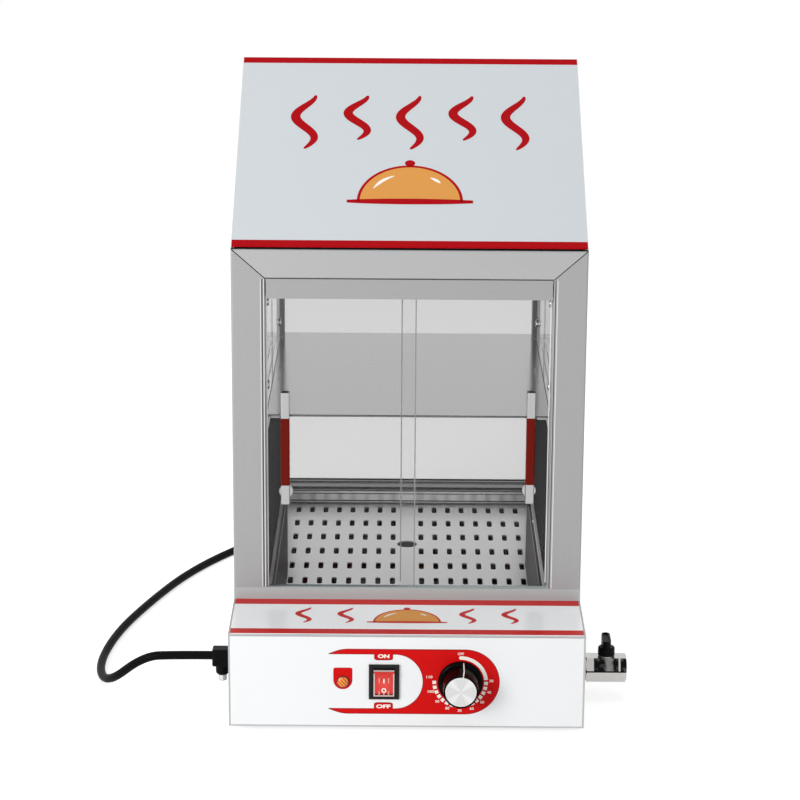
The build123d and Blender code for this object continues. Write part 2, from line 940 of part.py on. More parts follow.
def rear_window():
    """Full-height rear pane standing in the rear sill."""
    low = sill_top - rear_glass_bite
    high = opening_top - seam
    middle = (low + high) / 2
    return glass_pane(
        Plane(origin=(0, rear_glass_y, middle), x_dir=(-1, 0, 0), z_dir=(0, 1, 0)),
        2 * (rear_post_inner - seam),
        high - low,
    )


def window_screws():
    """Dome-headed screws on the inner faces of the side panes, four on each side."""
    with BuildPart() as piece:
        for side in (-1, 1):
            face = Plane(
                origin=(side * chamber_half_width, 0, 0), x_dir=(0, -side, 0), z_dir=(-side, 0, 0)
            )
            places = [
                (-side * y, z)
                for y in (wall_front + screw_front_inset, wall_rear - screw_rear_inset)
                for z in (shelf_top + screw_low, shelf_top + screw_high)
            ]
            with BuildSketch(face):
                with Locations(*places):
                    Circle(screw_radius)
            extrude(amount=screw_height)
        outer = piece.faces().filter_by(Axis.X).group_by(lambda face: abs(face.center().X))[0]
        fillet(outer.edges(), screw_height * 0.6)
    return piece


def shelf():
    """Polished shelf between the compartments, notched round the rear posts."""
    reach = chamber_half_width - wall_gap
    front = front_y + ledge_depth + shelf_front_inset
    rear = rear_glass_y - shelf_rear_gap
    notch_width = reach - rear_post_inner + seam
    notch_depth = rear - wall_rear
    with BuildPart() as piece:
        with BuildSketch(Plane.XY.offset(shelf_bottom)):
            with Locations((0, (front + rear) / 2)):
                Rectangle(2 * reach, rear - front)
            with Locations((-reach, rear)):
                Rectangle(notch_width, notch_depth, align=(Align.MIN, Align.MAX), mode=Mode.SUBTRACT)
            with Locations((reach, rear)):
                Rectangle(notch_width, notch_depth, align=(Align.MAX, Align.MAX), mode=Mode.SUBTRACT)
        extrude(amount=shelf_thickness)
        fillet(piece.edges().filter_by(Axis.X).group_by(Axis.Y)[0], shelf_thickness * 0.4)
    return piece


def shelf_bracket(side):
    """Angle strip on a liner that carries the shelf."""
    section = fold_section(
        (side * chamber_half_width, shelf_bottom),
        -side * bracket_leg,
        -bracket_leg,
        thickness=bracket_sheet,
        radius=bracket_sheet,
    )
    with BuildPart() as piece:
        with BuildSketch(facing_plane(wall_front)):
            add(section)
        extrude(amount=-(wall_rear - wall_front))
    return piece


# ---------------------------------------------------------------- roof

def ceiling_plate():
    """Plate on top of the frame that closes the chamber and leaves a shadow gap."""
    with BuildPart() as piece:
        block(
            (-half_width + shadow_inset, half_width - shadow_inset),
            (frame_front + shadow_inset, rear_y - shadow_inset),
            (frame_top, ceiling_top),
        )
    return piece


def roof():
    """Pitched sheet-metal hood, open underneath: sign slope, rear slope and two gables."""
    reach = half_width - roof_side_inset
    with BuildPart() as piece:
        with BuildSketch(cross_plane(-reach)):
            with BuildLine():
                Polyline(
                    (frame_front, ceiling_top),
                    (rear_y, ceiling_top),
                    (ridge_y, ridge_z),
                    close=True,
                )
            make_face()
        extrude(amount=2 * reach)
        underside = piece.faces().sort_by(Axis.Z)[0]
        offset(amount=-sheet, openings=underside, kind=Kind.INTERSECTION)
    return piece


def roof_sign():
    """Printed sign panel on the front slope."""
    rise = ridge_z - ceiling_top
    slope = hypot(ridge_setback, rise)
    normal = (0, -rise / slope, ridge_setback / slope)
    low = sign_end_margin
    with BuildPart() as piece:
        with BuildSketch(Plane(origin=(0, frame_front, ceiling_top), x_dir=(1, 0, 0), z_dir=normal)):
            with Locations((0, (low + slope) / 2)):
                Rectangle(2 * (half_width - sign_side_margin), slope - low)
        extrude(amount=sign_thickness)
    return piece


# ---------------------------------------------------------------- doors

def door_glass(side):
    """Sliding pane: the left one runs in the front groove and the right one in the rear."""
    middle_y = front_groove_y if side < 0 else rear_groove_y
    return glass_pane(
        Plane(
            origin=(side * (door_outer - door_inner) / 2, middle_y + glass / 2, (door_bottom + door_top) / 2),
            x_dir=(1, 0, 0),
            z_dir=(0, -1, 0),
        ),
        door_outer + door_inner,
        door_top - door_bottom,
    )


def pull_foot(side):
    """Middle of a door pull's lower end; the left pull is fixed a little higher."""
    middle_y = front_groove_y if side < 0 else rear_groove_y
    raised = left_pull_raise if side < 0 else 0
    return side * pull_x, middle_y - glass / 2 - pull_standoff - pull_half, pull_bottom + raised


def door_pull(side):
    """Upright pull: a square core with two thicker open ends, on two round pads against the glass."""
    x, y, bottom = pull_foot(side)
    top = bottom + pull_length
    grip_top = bottom + grip_bottom + grip_length
    with BuildPart() as piece:
        with BuildSketch(Plane.XY.offset(bottom)):
            with Locations((x, y)):
                RectangleRounded(pull_core, pull_core, pull_corner / 2)
        extrude(amount=pull_length)
        for low, high in ((bottom, bottom + grip_bottom), (grip_top, top)):
            with BuildSketch(Plane.XY.offset(low)):
                with Locations((x, y)):
                    RectangleRounded(pull_width, pull_width, pull_corner)
            extrude(amount=high - low)
        with BuildSketch(facing_plane(y + pull_half + pull_standoff)):
            with Locations((x - side * pull_pad_offset, bottom + pull_pad_height)):
                Circle(pull_pad_radius)
            with Locations((x, top - pull_pad_height)):
                Circle(pull_half)
        extrude(amount=pull_standoff + pull_half / 2)
        for end, inward in ((bottom, pull_end_depth), (top, -pull_end_depth)):
            with BuildSketch(Plane.XY.offset(end)):
                with Locations((x, y)):
                    RectangleRounded(pull_core, pull_core, pull_corner / 2)
            extrude(amount=inward, mode=Mode.SUBTRACT)
    return piece


def door_grip(side):
    """Coloured sleeve round the middle of a pull."""
    x, y, bottom = pull_foot(side)
    with BuildPart() as piece:
        with BuildSketch(Plane.XY.offset(bottom + grip_bottom + seam / 2)):
            with Locations((x, y)):
                RectangleRounded(pull_width, pull_width, pull_corner)
                Rectangle(pull_core + seam / 2, pull_core + seam / 2, mode=Mode.SUBTRACT)
        extrude(amount=grip_length - seam)
    return piece


# ---------------------------------------------------------------- controls

def switch_housing():
    """Rocker switch case: a bevelled bezel on the panel and a body with a well behind it."""
    opening_width = rocker_width + rocker_clearance
    opening_height = rocker_height + rocker_clearance + 2 * bezel_chamfer
    with BuildPart() as piece:
        with BuildSketch(facing_plane(panel_face)):
            with Locations((switch_x, controls_z)):
                Rectangle(bezel_width, bezel_height)
        extrude(amount=bezel_thickness)
        chamfer(piece.faces().sort_by(Axis.Y)[0].edges(), bezel_chamfer)
        with BuildSketch(facing_plane(panel_face)):
            with Locations((switch_x, controls_z)):
                Rectangle(switch_body_width, switch_body_height)
        extrude(amount=-switch_body_depth)
        with BuildSketch(facing_plane(panel_face - bezel_thickness)):
            with Locations((switch_x, controls_z)):
                Rectangle(opening_width, opening_height)
        extrude(amount=-(bezel_thickness + rocker_well_depth), mode=Mode.SUBTRACT)
        with BuildSketch(cross_plane(switch_x)):
            with Locations((panel_face - bezel_thickness + rocker_pivot_depth, controls_z)):
                Circle(rocker_pin_radius + rocker_pin_clearance)
        socket_reach = rocker_width / 2 + rocker_pin_reach + rocker_pin_play
        extrude(amount=socket_reach, both=True, mode=Mode.SUBTRACT)
    return piece


def rocker():
    """Rocker with a shallow valley, resting with its lower half pressed in, and two pivot pins."""
    half = rocker_height / 2
    rise = half * tan(radians(rocker_tilt))
    pivot_y = panel_face - bezel_thickness + rocker_pivot_depth
    left_end = cross_plane(switch_x - rocker_width / 2)
    tilted = Plane(
        origin=(switch_x - rocker_width / 2, pivot_y, controls_z),
        x_dir=(0, cos(radians(rocker_tilt)), sin(radians(rocker_tilt))),
        z_dir=left_end.z_dir,
    )
    with BuildPart() as piece:
        with BuildSketch(tilted):
            with BuildLine():
                front = Polyline(
                    (rocker_back, half),
                    (-rocker_valley - rise, half),
                    (-rocker_valley, 0),
                    (-rocker_valley - rise, -half),
                    (rocker_back, -half),
                )
                ThreePointArc(front @ 1, (rocker_back + rise, 0), front @ 0)
            make_face()
        extrude(amount=rocker_width)
        fillet(piece.edges().filter_by(Axis.X).group_by(Axis.Y)[0], bezel_chamfer)
        with BuildSketch(cross_plane(switch_x)):
            with Locations((pivot_y, controls_z)):
                Circle(rocker_pin_radius)
        extrude(amount=rocker_width / 2 + rocker_pin_reach, both=True)
    return piece


def indicator_lamp():
    """Heat indicator: a domed lens with a flange, and its body behind the panel."""
    with BuildPart() as piece:
        with BuildSketch(turned_plane(lamp_x, panel_face, controls_z)):
            with BuildLine():
                dome = dome_arc(lamp_radius, lamp_flange, lamp_dome)
                Polyline(
                    dome @ 1,
                    (0, -lamp_body_depth),
                    (lamp_body_radius, -lamp_body_depth),
                    (lamp_body_radius, 0),
                    (lamp_radius, 0),
                    dome @ 0,
                )
            make_face()
        revolve(axis=Axis((lamp_x, 0, controls_z), (0, 1, 0)))
    return piece


def knob():
    """Thermostat knob on its shaft: a flared skirt, a pointer rib and a seat for the cap."""
    with BuildPart() as piece:
        with BuildSketch(turned_plane(knob_x, panel_face - knob_panel_gap, controls_z)):
            with BuildLine():
                Polyline(
                    (knob_cap_radius + knob_cap_gap, knob_height),
                    (knob_cap_radius + knob_cap_gap, knob_height - knob_cap_seat),
                    (0, knob_height - knob_cap_seat),
                    (0, -shaft_engagement),
                    (shaft_radius, -shaft_engagement),
                    (shaft_radius, 0),
                    (knob_skirt_radius, 0),
                    (knob_skirt_radius, knob_skirt_rim),
                )
                Bezier(
                    (knob_skirt_radius, knob_skirt_rim),
                    (knob_waist_radius, knob_skirt_rim),
                    (knob_waist_radius, knob_skirt_height),
                )
                Polyline(
                    (knob_waist_radius, knob_skirt_height),
                    (knob_front_radius, knob_height),
                    (knob_cap_radius + knob_cap_gap, knob_height),
                )
            make_face()
        revolve(axis=Axis((knob_x, 0, controls_z), (0, 1, 0)))
        pointer_root = knob_front_radius - pointer_width
        with BuildSketch(facing_plane(panel_face - knob_panel_gap - knob_skirt_rim)):
            with Locations((knob_x, controls_z)):
                with PolarLocations((pointer_root + pointer_radius) / 2, 1, 90 - pointer_lean):
                    RectangleRounded(pointer_radius - pointer_root, pointer_width, pointer_width / 3)
        extrude(amount=knob_height - 2 * knob_skirt_rim)
    return piece


def knob_cap():
    """Spun aluminium disc seated in the front of the knob."""
    seat_y = panel_face - knob_panel_gap - knob_height + knob_cap_seat
    with BuildPart() as piece:
        with BuildSketch(facing_plane(seat_y)):
            with Locations((knob_x, controls_z)):
                Circle(knob_cap_radius)
        extrude(amount=knob_cap_thickness)
        chamfer(piece.faces().sort_by(Axis.Y)[0].edges(), knob_cap_seat / 3)
    return piece


def thermostat():
    """Thermostat body behind the panel, with the bushing that carries the knob's shaft."""
    with BuildPart() as piece:
        with BuildSketch(facing_plane(front_y + sheet)):
            with Locations((knob_x, controls_z)):
                RectangleRounded(thermostat_width, thermostat_height, fold_radius)
        extrude(amount=-thermostat_depth)
        with BuildSketch(facing_plane(front_y + sheet)):
            with Locations((knob_x, controls_z)):
                Circle(bushing_radius)
        extrude(amount=sheet + overlay_thickness)
        with BuildSketch(facing_plane(panel_face)):
            with Locations((knob_x, controls_z)):
                Circle(shaft_radius + shaft_clearance)
        extrude(amount=-shaft_engagement, mode=Mode.SUBTRACT)
    return piece


# ---------------------------------------------------------------- mains cord

def cord_gland():
    """Cord clamp on the left wall: a rounded block, a domed boss below it and its screw."""
    boss_x = -half_width - gland_boss_x
    boss_top_z = gland_z - gland_drop
    with BuildPart() as piece:
        with BuildSketch(cross_plane(-half_width)):
            with Locations((gland_y, gland_z + (gland_rise - gland_drop) / 2)):
                RectangleRounded(gland_width, gland_rise + gland_drop, gland_corner)
        extrude(amount=-gland_reach)
        chamfer(piece.faces().sort_by(Axis.X)[0].edges(), gland_corner / 2)
        with BuildSketch(cross_plane(-half_width)):
            with Locations((gland_y, gland_z)):
                Circle(gland_hole - gland_spigot_clearance)
        extrude(amount=gland_spigot_length)
        with BuildSketch(Plane.XY.offset(boss_top_z)):
            with Locations((boss_x, gland_y)):
                Circle(gland_boss_radius)
        extrude(amount=-gland_boss_drop)
        fillet(piece.faces().sort_by(Axis.Z)[0].edges(), gland_boss_radius / 2)
        with BuildSketch(Plane.XY.offset(boss_top_z - gland_boss_drop)):
            with Locations((boss_x, gland_y)):
                Circle(gland_screw_radius)
        extrude(amount=-gland_screw_length)
        chamfer(piece.faces().sort_by(Axis.Z)[0].edges(), seam)
    return piece


def corner_radii(points):
    """Radius of the arc at each inner point: as large as its two runs allow."""
    runs = [Vector(*end) - Vector(*start) for start, end in zip(points, points[1:])]
    return [
        0.45 * min(run.length, after.length) / tan(radians(run.get_angle(after) / 2))
        for run, after in zip(runs, runs[1:])
    ]


def power_cord():
    """Mains cord from the gland, down to the table and round to the coil behind."""
    radii = corner_radii(cord_route)
    with BuildPart() as piece:
        with BuildLine():
            route = FilletPolyline(*cord_route, radius=radii)
        with BuildSketch(Plane(origin=route @ 0, z_dir=route % 0)):
            Circle(cord_radius)
        sweep()
    section = pi * cord_radius**2
    coiled = coil_turns * 2 * pi * coil_radius + coil_lead + coil_tail
    print("cord radii:", [round(radius, 1) for radius in radii])
    print("cord volume over section times length:", round(piece.part.volume / (section * route.length), 4))
    print("cord length with its coil:", round(route.length + coiled, 1))
    return piece


def cord_coil():
    """Outer shape of the coiled cord, with a straight lead into it and a tail to the plug."""
    thick = coil_layers * cord_diameter
    with BuildPart() as piece:
        with BuildSketch(Plane(origin=(coil_x, coil_y, 0), x_dir=(1, 0, 0), z_dir=(0, -1, 0))):
            with Locations((coil_radius, cord_z - cord_radius + thick / 2)):
                RectangleRounded(thick, thick, cord_radius - seam)
        revolve(axis=Axis((coil_x, coil_y, 0), (0, 0, 1)))
        with BuildSketch(cross_plane(coil_x)):
            with Locations((coil_entry_y, cord_z)):
                Circle(cord_radius)
        extrude(amount=-coil_lead)
        with BuildSketch(cross_plane(coil_x)):
            with Locations((coil_entry_y, cord_z + cord_diameter)):
                Circle(cord_radius)
        extrude(amount=coil_tail)
    return piece


def plug():
    """Two-pin mains plug lying on its back, its cord leaving at the side by a tapered relief."""
    axis_z = cord_z + cord_diameter
    relief_x = coil_x + coil_tail
    body_x = relief_x + plug_relief_length + plug_radius - plug_flat
    low_z = axis_z - plug_height / 2
    with BuildPart() as piece:
        with BuildSketch(Plane.XY.offset(low_z)):
            with Locations((body_x, coil_entry_y)):
                Circle(plug_radius)
        extrude(amount=plug_height)
        fillet(piece.faces().sort_by(Axis.Z)[0].edges(), 2 * fold_radius)
        chamfer(piece.faces().sort_by(Axis.Z)[-1].edges(), glass_edge)
        with BuildSketch(Plane.XY.offset(low_z + plug_height)):
            for side in (-1, 1):
                with Locations((body_x + side * plug_radius, coil_entry_y)):
                    Rectangle(plug_notch, plug_notch)
        extrude(amount=-plug_notch_depth, mode=Mode.SUBTRACT)
        with BuildSketch(cross_plane(relief_x)):
            with Locations((coil_entry_y, axis_z)):
                Circle(plug_relief_end)
        with BuildSketch(cross_plane(body_x - plug_radius + plug_flat)):
            with Locations((coil_entry_y, axis_z)):
                Circle(plug_relief_radius)
        loft()
        with BuildSketch(cross_plane(body_x - plug_radius + plug_flat)):
            with Locations((coil_entry_y, axis_z)):
                Circle(plug_relief_radius)
        extrude(amount=plug_radius / 2)
        with BuildSketch(Plane.XY.offset(low_z + plug_height)):
            with Locations((body_x, coil_entry_y)):
                with GridLocations(1, plug_pin_spacing, 1, 2):
                    Circle(plug_pin_radius)
        extrude(amount=plug_pin_length)
        fillet(piece.faces().sort_by(Axis.Z)[-2:].edges(), plug_pin_radius / 2)
    return piece


# ---------------------------------------------------------------- build every sub-part

single_parts = {
    "base_front": base_front,
    "base_rear": base_rear,
    "base_deck": base_deck,
    "base_plate": base_plate,
    "feet": feet,
    "front_overlay": front_overlay,
    "ledge_overlay": ledge_overlay,
    "water_tank": water_tank,
    "perforated_plate": perforated_plate,
    "plate_guides": plate_guides,
    "heating_element": heating_element,
    "drain_pipe": drain_pipe,
    "drain_valve": drain_valve,
    "valve_ball": valve_ball,
    "valve_handle": valve_handle,
    "front_sill": front_sill,
    "door_track_top": door_header,
    "rear_sill": rear_sill,
    "rear_window": rear_window,
    "window_screws": window_screws,
    "shelf": shelf,
    "ceiling_plate": ceiling_plate,
    "roof": roof,
    "roof_sign": roof_sign,
    "switch_housing": switch_housing,
    "rocker": rocker,
    "indicator_lamp": indicator_lamp,
    "knob": knob,
    "knob_cap": knob_cap,
    "thermostat": thermostat,
    "cord_gland": cord_gland,
    "power_cord": power_cord,
    "cord_coil": cord_coil,
    "plug": plug,
}
for node, build in single_parts.items():
    save(build(), node)

handed_parts = {
    "base_side": base_side,
    "side_rail": side_rail,
    "side_sill": side_sill,
    "liner": liner,
    "side_panel": side_panel,
    "side_window": side_window,
    "shelf_bracket": shelf_bracket,
    "door_glass": door_glass,
    "handle": door_pull,
    "grip": door_grip,
}
for side, hand in ((-1, "left"), (1, "right")):
    save(upright_post(side, post_width, frame_front, sill_top), f"front_post_{hand}")
    save(upright_post(side, rear_post_width, rear_post_front, sill_top), f"rear_post_{hand}")
    for name, build in handed_parts.items():
        save(build(side), f"{name}_{hand}")

save(cross_bar(post_width, frame_front), "front_top_bar")
save(cross_bar(rear_post_width, rear_post_front), "rear_top_rail")
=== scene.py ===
"""Looks of a counter-top hot dog steamer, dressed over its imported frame.

Everything is in metres in the frame's own axes: +Z up, the front faces -Y, +X to the right.
"""

import logging
from dataclasses import dataclass, field
from enum import Enum
from math import cos, pi, radians, sin

import bpy
import numpy as np
from mathutils import Matrix, Vector


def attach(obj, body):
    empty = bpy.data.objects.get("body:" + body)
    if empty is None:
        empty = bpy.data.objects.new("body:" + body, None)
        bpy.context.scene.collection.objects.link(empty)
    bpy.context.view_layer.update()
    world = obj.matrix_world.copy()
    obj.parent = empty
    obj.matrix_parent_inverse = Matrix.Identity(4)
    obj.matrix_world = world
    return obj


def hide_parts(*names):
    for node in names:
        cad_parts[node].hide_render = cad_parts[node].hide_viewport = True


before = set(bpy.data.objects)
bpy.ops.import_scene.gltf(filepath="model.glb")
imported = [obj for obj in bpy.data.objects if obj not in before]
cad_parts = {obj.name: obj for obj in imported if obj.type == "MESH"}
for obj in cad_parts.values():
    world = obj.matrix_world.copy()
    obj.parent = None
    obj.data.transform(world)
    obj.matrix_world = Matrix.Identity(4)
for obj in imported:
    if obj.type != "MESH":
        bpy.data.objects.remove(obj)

logging.basicConfig(level=logging.INFO, format="%(name)s: %(message)s")
log = logging.getLogger("steamer")

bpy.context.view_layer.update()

Pair = tuple[float, float]
Triple = tuple[float, float, float]
Colour = tuple[float, float, float, float]
Material = bpy.types.Material
Node = bpy.types.Node
Socket = bpy.types.NodeSocket
Thing = bpy.types.Object


# ---------------------------------------------------------------- options


class Grain(Enum):
    """Direction in which a sheet was brushed."""

    ACROSS = (0.012, 1.0, 1.0)
    DEPTH = (1.0, 0.012, 1.0)
    UPRIGHT = (1.0, 1.0, 0.012)


class Slot(Enum):
    """Names of the record's material slots, carried by new pieces; nothing in this script reads them."""

    FRONT = "white_print"
    SIGN = "sign_print"
    LEDGE = "ledge_print"
    CORD = "cord_black"
    ROCKER = "rocker_red"
    KNOB = "black_gloss"
    SCREW = "screw_steel"
    GLASS = "glass_clear"
    STEEL = "satin_steel"


# ---------------------------------------------------------------- node graphs


class Graph:
    """A material's node tree, with short calls to add and link its nodes."""

    def __init__(self, name: str) -> None:
        """Start an empty material.

        Args:
            name: the material's name.
        """
        self.material = bpy.data.materials.new(name)
        self.material.use_nodes = True
        self.tree = self.material.node_tree
        self.tree.nodes.clear()
        self.output = self.tree.nodes.new("ShaderNodeOutputMaterial")

    def fill(self, socket: Socket, value: object) -> None:
        """Link an output to a socket, or set the socket's own value."""
        if isinstance(value, Socket):
            self.tree.links.new(value, socket)
        else:
            socket.default_value = value

    def node(self, kind: str, **sockets: object) -> Node:
        """Add a node and fill its sockets.

        Args:
            kind: the node's type, without its "ShaderNode" prefix.
            sockets: socket name (spaces as underscores) to a value or an output socket;
                a name that isn't a socket is set as a property of the node.

        Returns:
            The new node.
        """
        made = self.tree.nodes.new("ShaderNode" + kind)
        for key, value in sockets.items():
            if hasattr(made, key):
                setattr(made, key, value)
        for key, value in sockets.items():
            socket = made.inputs.get(key.replace("_", " "))
            if socket is not None:
                self.fill(socket, value)
        return made

    def math(self, operation: str, first: object, second: object = 0.0) -> Socket:
        """One Math node; both terms may be numbers or sockets. Returns its output."""
        made = self.tree.nodes.new("ShaderNodeMath")
        made.operation = operation
        for place, value in enumerate((first, second)):
            self.fill(made.inputs[place], value)
        return made.outputs[0]

    def blend(self, share: object, low: object, high: object) -> Socket:
        """Colour mix of low and high by share. Returns the colour output."""
        made = self.tree.nodes.new("ShaderNodeMix")
        made.data_type = "RGBA"
        for place, value in ((0, share), (6, low), (7, high)):
            self.fill(made.inputs[place], value)
        return made.outputs[2]

    def ramp(self, source: object, low: float, high: float) -> Socket:
        """Map a 0..1 value linearly on to low..high. Returns the result."""
        made = self.node("MapRange", Value=source)
        made.inputs["To Min"].default_value = low
        made.inputs["To Max"].default_value = high
        return made.outputs[0]

    def place(self, scale: Triple) -> Socket:
        """Object coordinates scaled by axis. Returns the vector output."""
        spot = self.node("TexCoord")
        moved = self.node("Mapping", Vector=spot.outputs["Object"], Scale=scale)
        return moved.outputs[0]

    def axes(self) -> tuple[Socket, ...]:
        """The object coordinates x, y and z. Returns their outputs."""
        spot = self.node("TexCoord")
        return tuple(self.node("SeparateXYZ", Vector=spot.outputs["Object"]).outputs)

    def polar(self, centre: Pair) -> tuple[Socket, Socket]:
        """Distance sqrt(x^2+z^2) and angle atan2(z, x) about an axis along Y through (x, z)."""
        x, _, z = self.axes()
        across = self.math("SUBTRACT", x, centre[0])
        upward = self.math("SUBTRACT", z, centre[1])
        squares = (self.math("MULTIPLY", part, part) for part in (across, upward))
        return self.math("SQRT", self.math("ADD", *squares)), self.math("ARCTAN2", upward, across)

    def noise(self, vector: object, scale: float, detail: float = 2.0) -> Socket:
        """Noise texture on a vector. Returns its factor."""
        return self.node("TexNoise", Vector=vector, Scale=scale, Detail=detail).outputs[0]

    def cloud(self, scale: float, detail: float) -> Socket:
        """Noise that is the same in every direction of the object. Returns its factor."""
        return self.noise(self.place((1.0, 1.0, 1.0)), scale, detail)

    def bump(self, strength: float, distance: float, height: object) -> Socket:
        """Bumps from a height. Returns the normal."""
        made = self.node("Bump", Strength=strength, Distance=distance, Height=height)
        return made.outputs[0]

    def join(self, kind: str, low: Node, high: Node, **sockets: object) -> Node:
        """A node over two shaders, which go to its last two inputs. Returns it."""
        made = self.node(kind, **sockets)
        for shader, socket in zip((low, high), list(made.inputs)[-2:]):
            self.tree.links.new(shader.outputs[0], socket)
        return made

    def principled(self, **sockets: object) -> Material:
        """Join a principled shader to the output and return the material."""
        return self.finish(self.node("BsdfPrincipled", **sockets))

    def finish(self, shader: Node) -> Material:
        """Join the last shader to the output and return the material."""
        self.tree.links.new(shader.outputs[0], self.output.inputs[0])
        return self.material


def srgb(red: float, green: float, blue: float) -> Colour:
    """Linear colour of an 8-bit screen colour: c/12.92 when dark, else ((c+0.055)/1.055)^2.4."""
    parts = np.array([red, green, blue]) / 255
    linear = np.where(parts <= 0.04045, parts / 12.92, ((parts + 0.055) / 1.055) ** 2.4)
    return (*(float(part) for part in linear), 1.0)


def grey(level: float) -> Colour:
    """Linear colour of an 8-bit screen grey."""
    return srgb(level, level, level)


def shaded(tone: Colour, share: float, lift: float = 0.0) -> Colour:
    """A tone with each channel times share, plus lift. Returns the colour."""
    return (*(part * share + lift for part in tone[:3]), 1.0)


@dataclass(frozen=True)
class PaintedDarkBand:
    """A stretch along one axis where a metal is painted darker, as a share of its tone: painted shade."""

    axis: int
    low: float
    high: float
    share: float


@dataclass(frozen=True)
class BrushedMetal:
    """Sheet metal with fine drawn lines, faint smudges, a soft, stretched highlight and optional stretches of
    painted shade.
    """

    name: str
    tone: Colour
    roughness: float = 0.3
    grain: Grain = Grain.ACROSS
    streak: float = 0.05
    smudge: float = 0.05
    bump: float = 0.04
    relief: float = 0.00002
    rim: float = 1.0
    metal: float = 1.0
    bands: tuple[PaintedDarkBand, ...] = ()

    def build(self) -> Material:
        """Return the material: streaks are noise squeezed across the brushing direction."""
        graph = Graph(self.name)
        lines = graph.noise(graph.place(self.grain.value), 2200.0, 3.0)
        cloud = graph.cloud(14.0, 4.0)
        dark = shaded(self.tone, 1 - 2 * self.streak)
        colour = graph.blend(lines, dark, self.tone)
        # Painted shade: inside each band the tone is darkened to the band's share.
        for band in self.bands:
            place = graph.axes()[band.axis]
            after = graph.math("GREATER_THAN", place, band.low)
            before = graph.math("LESS_THAN", place, band.high)
            deep = shaded(self.tone, band.share)
            colour = graph.blend(graph.math("MULTIPLY", after, before), colour, deep)
        low = self.roughness - self.smudge / 2
        rough = graph.math(
            "ADD",
            graph.ramp(cloud, low, low + self.smudge),
            graph.ramp(lines, 0.0, self.streak),
        )
        relief = graph.bump(self.bump, self.relief, lines)
        return graph.principled(
            Base_Color=colour,
            Metallic=self.metal,
            Roughness=rough,
            Specular_Tint=(self.rim, self.rim, self.rim, 1.0),
            Normal=relief,
        )


@dataclass(frozen=True)
class PaintedLightShadeSheet:
    """Matt steel with no mirror part at all and upright streaks, whose even tone is painted light and shade:
    dark where the closed compartment lies in shade, pale where a face is lit.
    """

    name: str
    tone: Colour

    def build(self) -> Material:
        """Return the material: an even painted tone under fine upright streaks."""
        graph = Graph(self.name)
        lines = graph.noise(graph.place(Grain.UPRIGHT.value), 260.0, 2.0)
        dark = shaded(self.tone, 0.92)
        return graph.principled(
            Base_Color=graph.blend(lines, dark, self.tone),
            Roughness=0.8,
            Specular_IOR_Level=0.0,
        )


@dataclass(frozen=True)
class Moulding:
    """Moulded plastic or rubber: a fine skin, slight sheen changes and soft dust."""

    name: str
    tone: Colour
    roughness: float = 0.35
    skin: float = 0.15
    skin_scale: float = 1500.0
    shine: float = 0.25

    def build(self) -> Material:
        """Return the material: the skin is a fine noise, the sheen a broad one."""
        graph = Graph(self.name)
        fine = graph.cloud(self.skin_scale, 3.0)
        broad = graph.cloud(40.0, 3.0)
        lifted = shaded(self.tone, 1.12, 0.001)
        relief = graph.bump(self.skin, 0.00005, fine)
        return graph.principled(
            Base_Color=graph.blend(broad, self.tone, lifted),
            Roughness=graph.ramp(broad, self.roughness - 0.05, self.roughness + 0.05),
            Specular_IOR_Level=self.shine,
            Normal=relief,
        )


@dataclass(frozen=True)
class Film:
    """Printed polyester film: an even ink under a thin satin or glossy face."""

    name: str
    tone: Colour
    roughness: float = 0.3
    shine: float = 0.15

    def build(self) -> Material:
        """Return the material: ink density and gloss drift a little over the sheet."""
        graph = Graph(self.name)
        drift = graph.cloud(9.0, 3.0)
        fine = graph.cloud(2500.0, 2.0)
        thin = shaded(self.tone, 0.985)
        relief = graph.bump(0.03, 0.00002, fine)
        return graph.principled(
            Base_Color=graph.blend(drift, thin, self.tone),
            Roughness=graph.ramp(drift, self.roughness * 0.9, self.roughness * 1.1),
            Specular_IOR_Level=self.shine,
            Normal=relief,
        )


@dataclass(frozen=True)
class Pane:
    """Flat glass: a tinted see-through body under a mirror-like Fresnel face."""

    name: str
    tint: Colour
    ior: float = 1.2
    wipe: float = 0.02

    def build(self) -> Material:
        """Return the material; wiped smears are a stretched noise in the face's roughness."""
        graph = Graph(self.name)
        smear = graph.noise(graph.place((4.0, 4.0, 1.0)), 12.0, 4.0)
        body = graph.node("BsdfTransparent", Color=self.tint)
        face = graph.node(
            "BsdfGlossy",
            Color=(1.0, 1.0, 1.0, 1.0),
            Roughness=graph.ramp(smear, 0.0, self.wipe),
        )
        share = graph.node("Fresnel", IOR=self.ior)
        return graph.finish(graph.join("MixShader", body, face, Fac=share.outputs[0]))


@dataclass(frozen=True)
class SpunMetal:
    """Turned metal face: fine rings about an axis along Y, and a painted fan of soft glints with a painted
    bright rim.
    """

    name: str
    tone: Colour
    centre: Pair
    rim: float
    roughness: float = 0.22

    def build(self) -> Material:
        """Return the material: rings from the distance to the axis, painted glints from its angle."""
        graph = Graph(self.name)
        reach, angle = graph.polar(self.centre)
        rings = graph.math("SINE", graph.math("MULTIPLY", reach, 16000.0))
        fan = graph.math("COSINE", graph.math("MULTIPLY", graph.math("ADD", angle, pi / 4), 4.0))
        finer = graph.math("COSINE", graph.math("MULTIPLY", angle, 22.0))
        # Painted highlights: the glint fan and the bright rim lighten the colour.
        glint = graph.math("ADD", graph.ramp(fan, 0.2, 0.85), graph.ramp(finer, 0.0, 0.10))
        rim = graph.math("GREATER_THAN", reach, self.rim)
        glint = graph.math("MAXIMUM", glint, rim)
        dark = shaded(self.tone, 0.78)
        relief = graph.bump(0.05, 0.00002, rings)
        return graph.principled(
            Base_Color=graph.blend(glint, dark, self.tone),
            Metallic=1.0,
            Roughness=self.roughness,
            Normal=relief,
        )


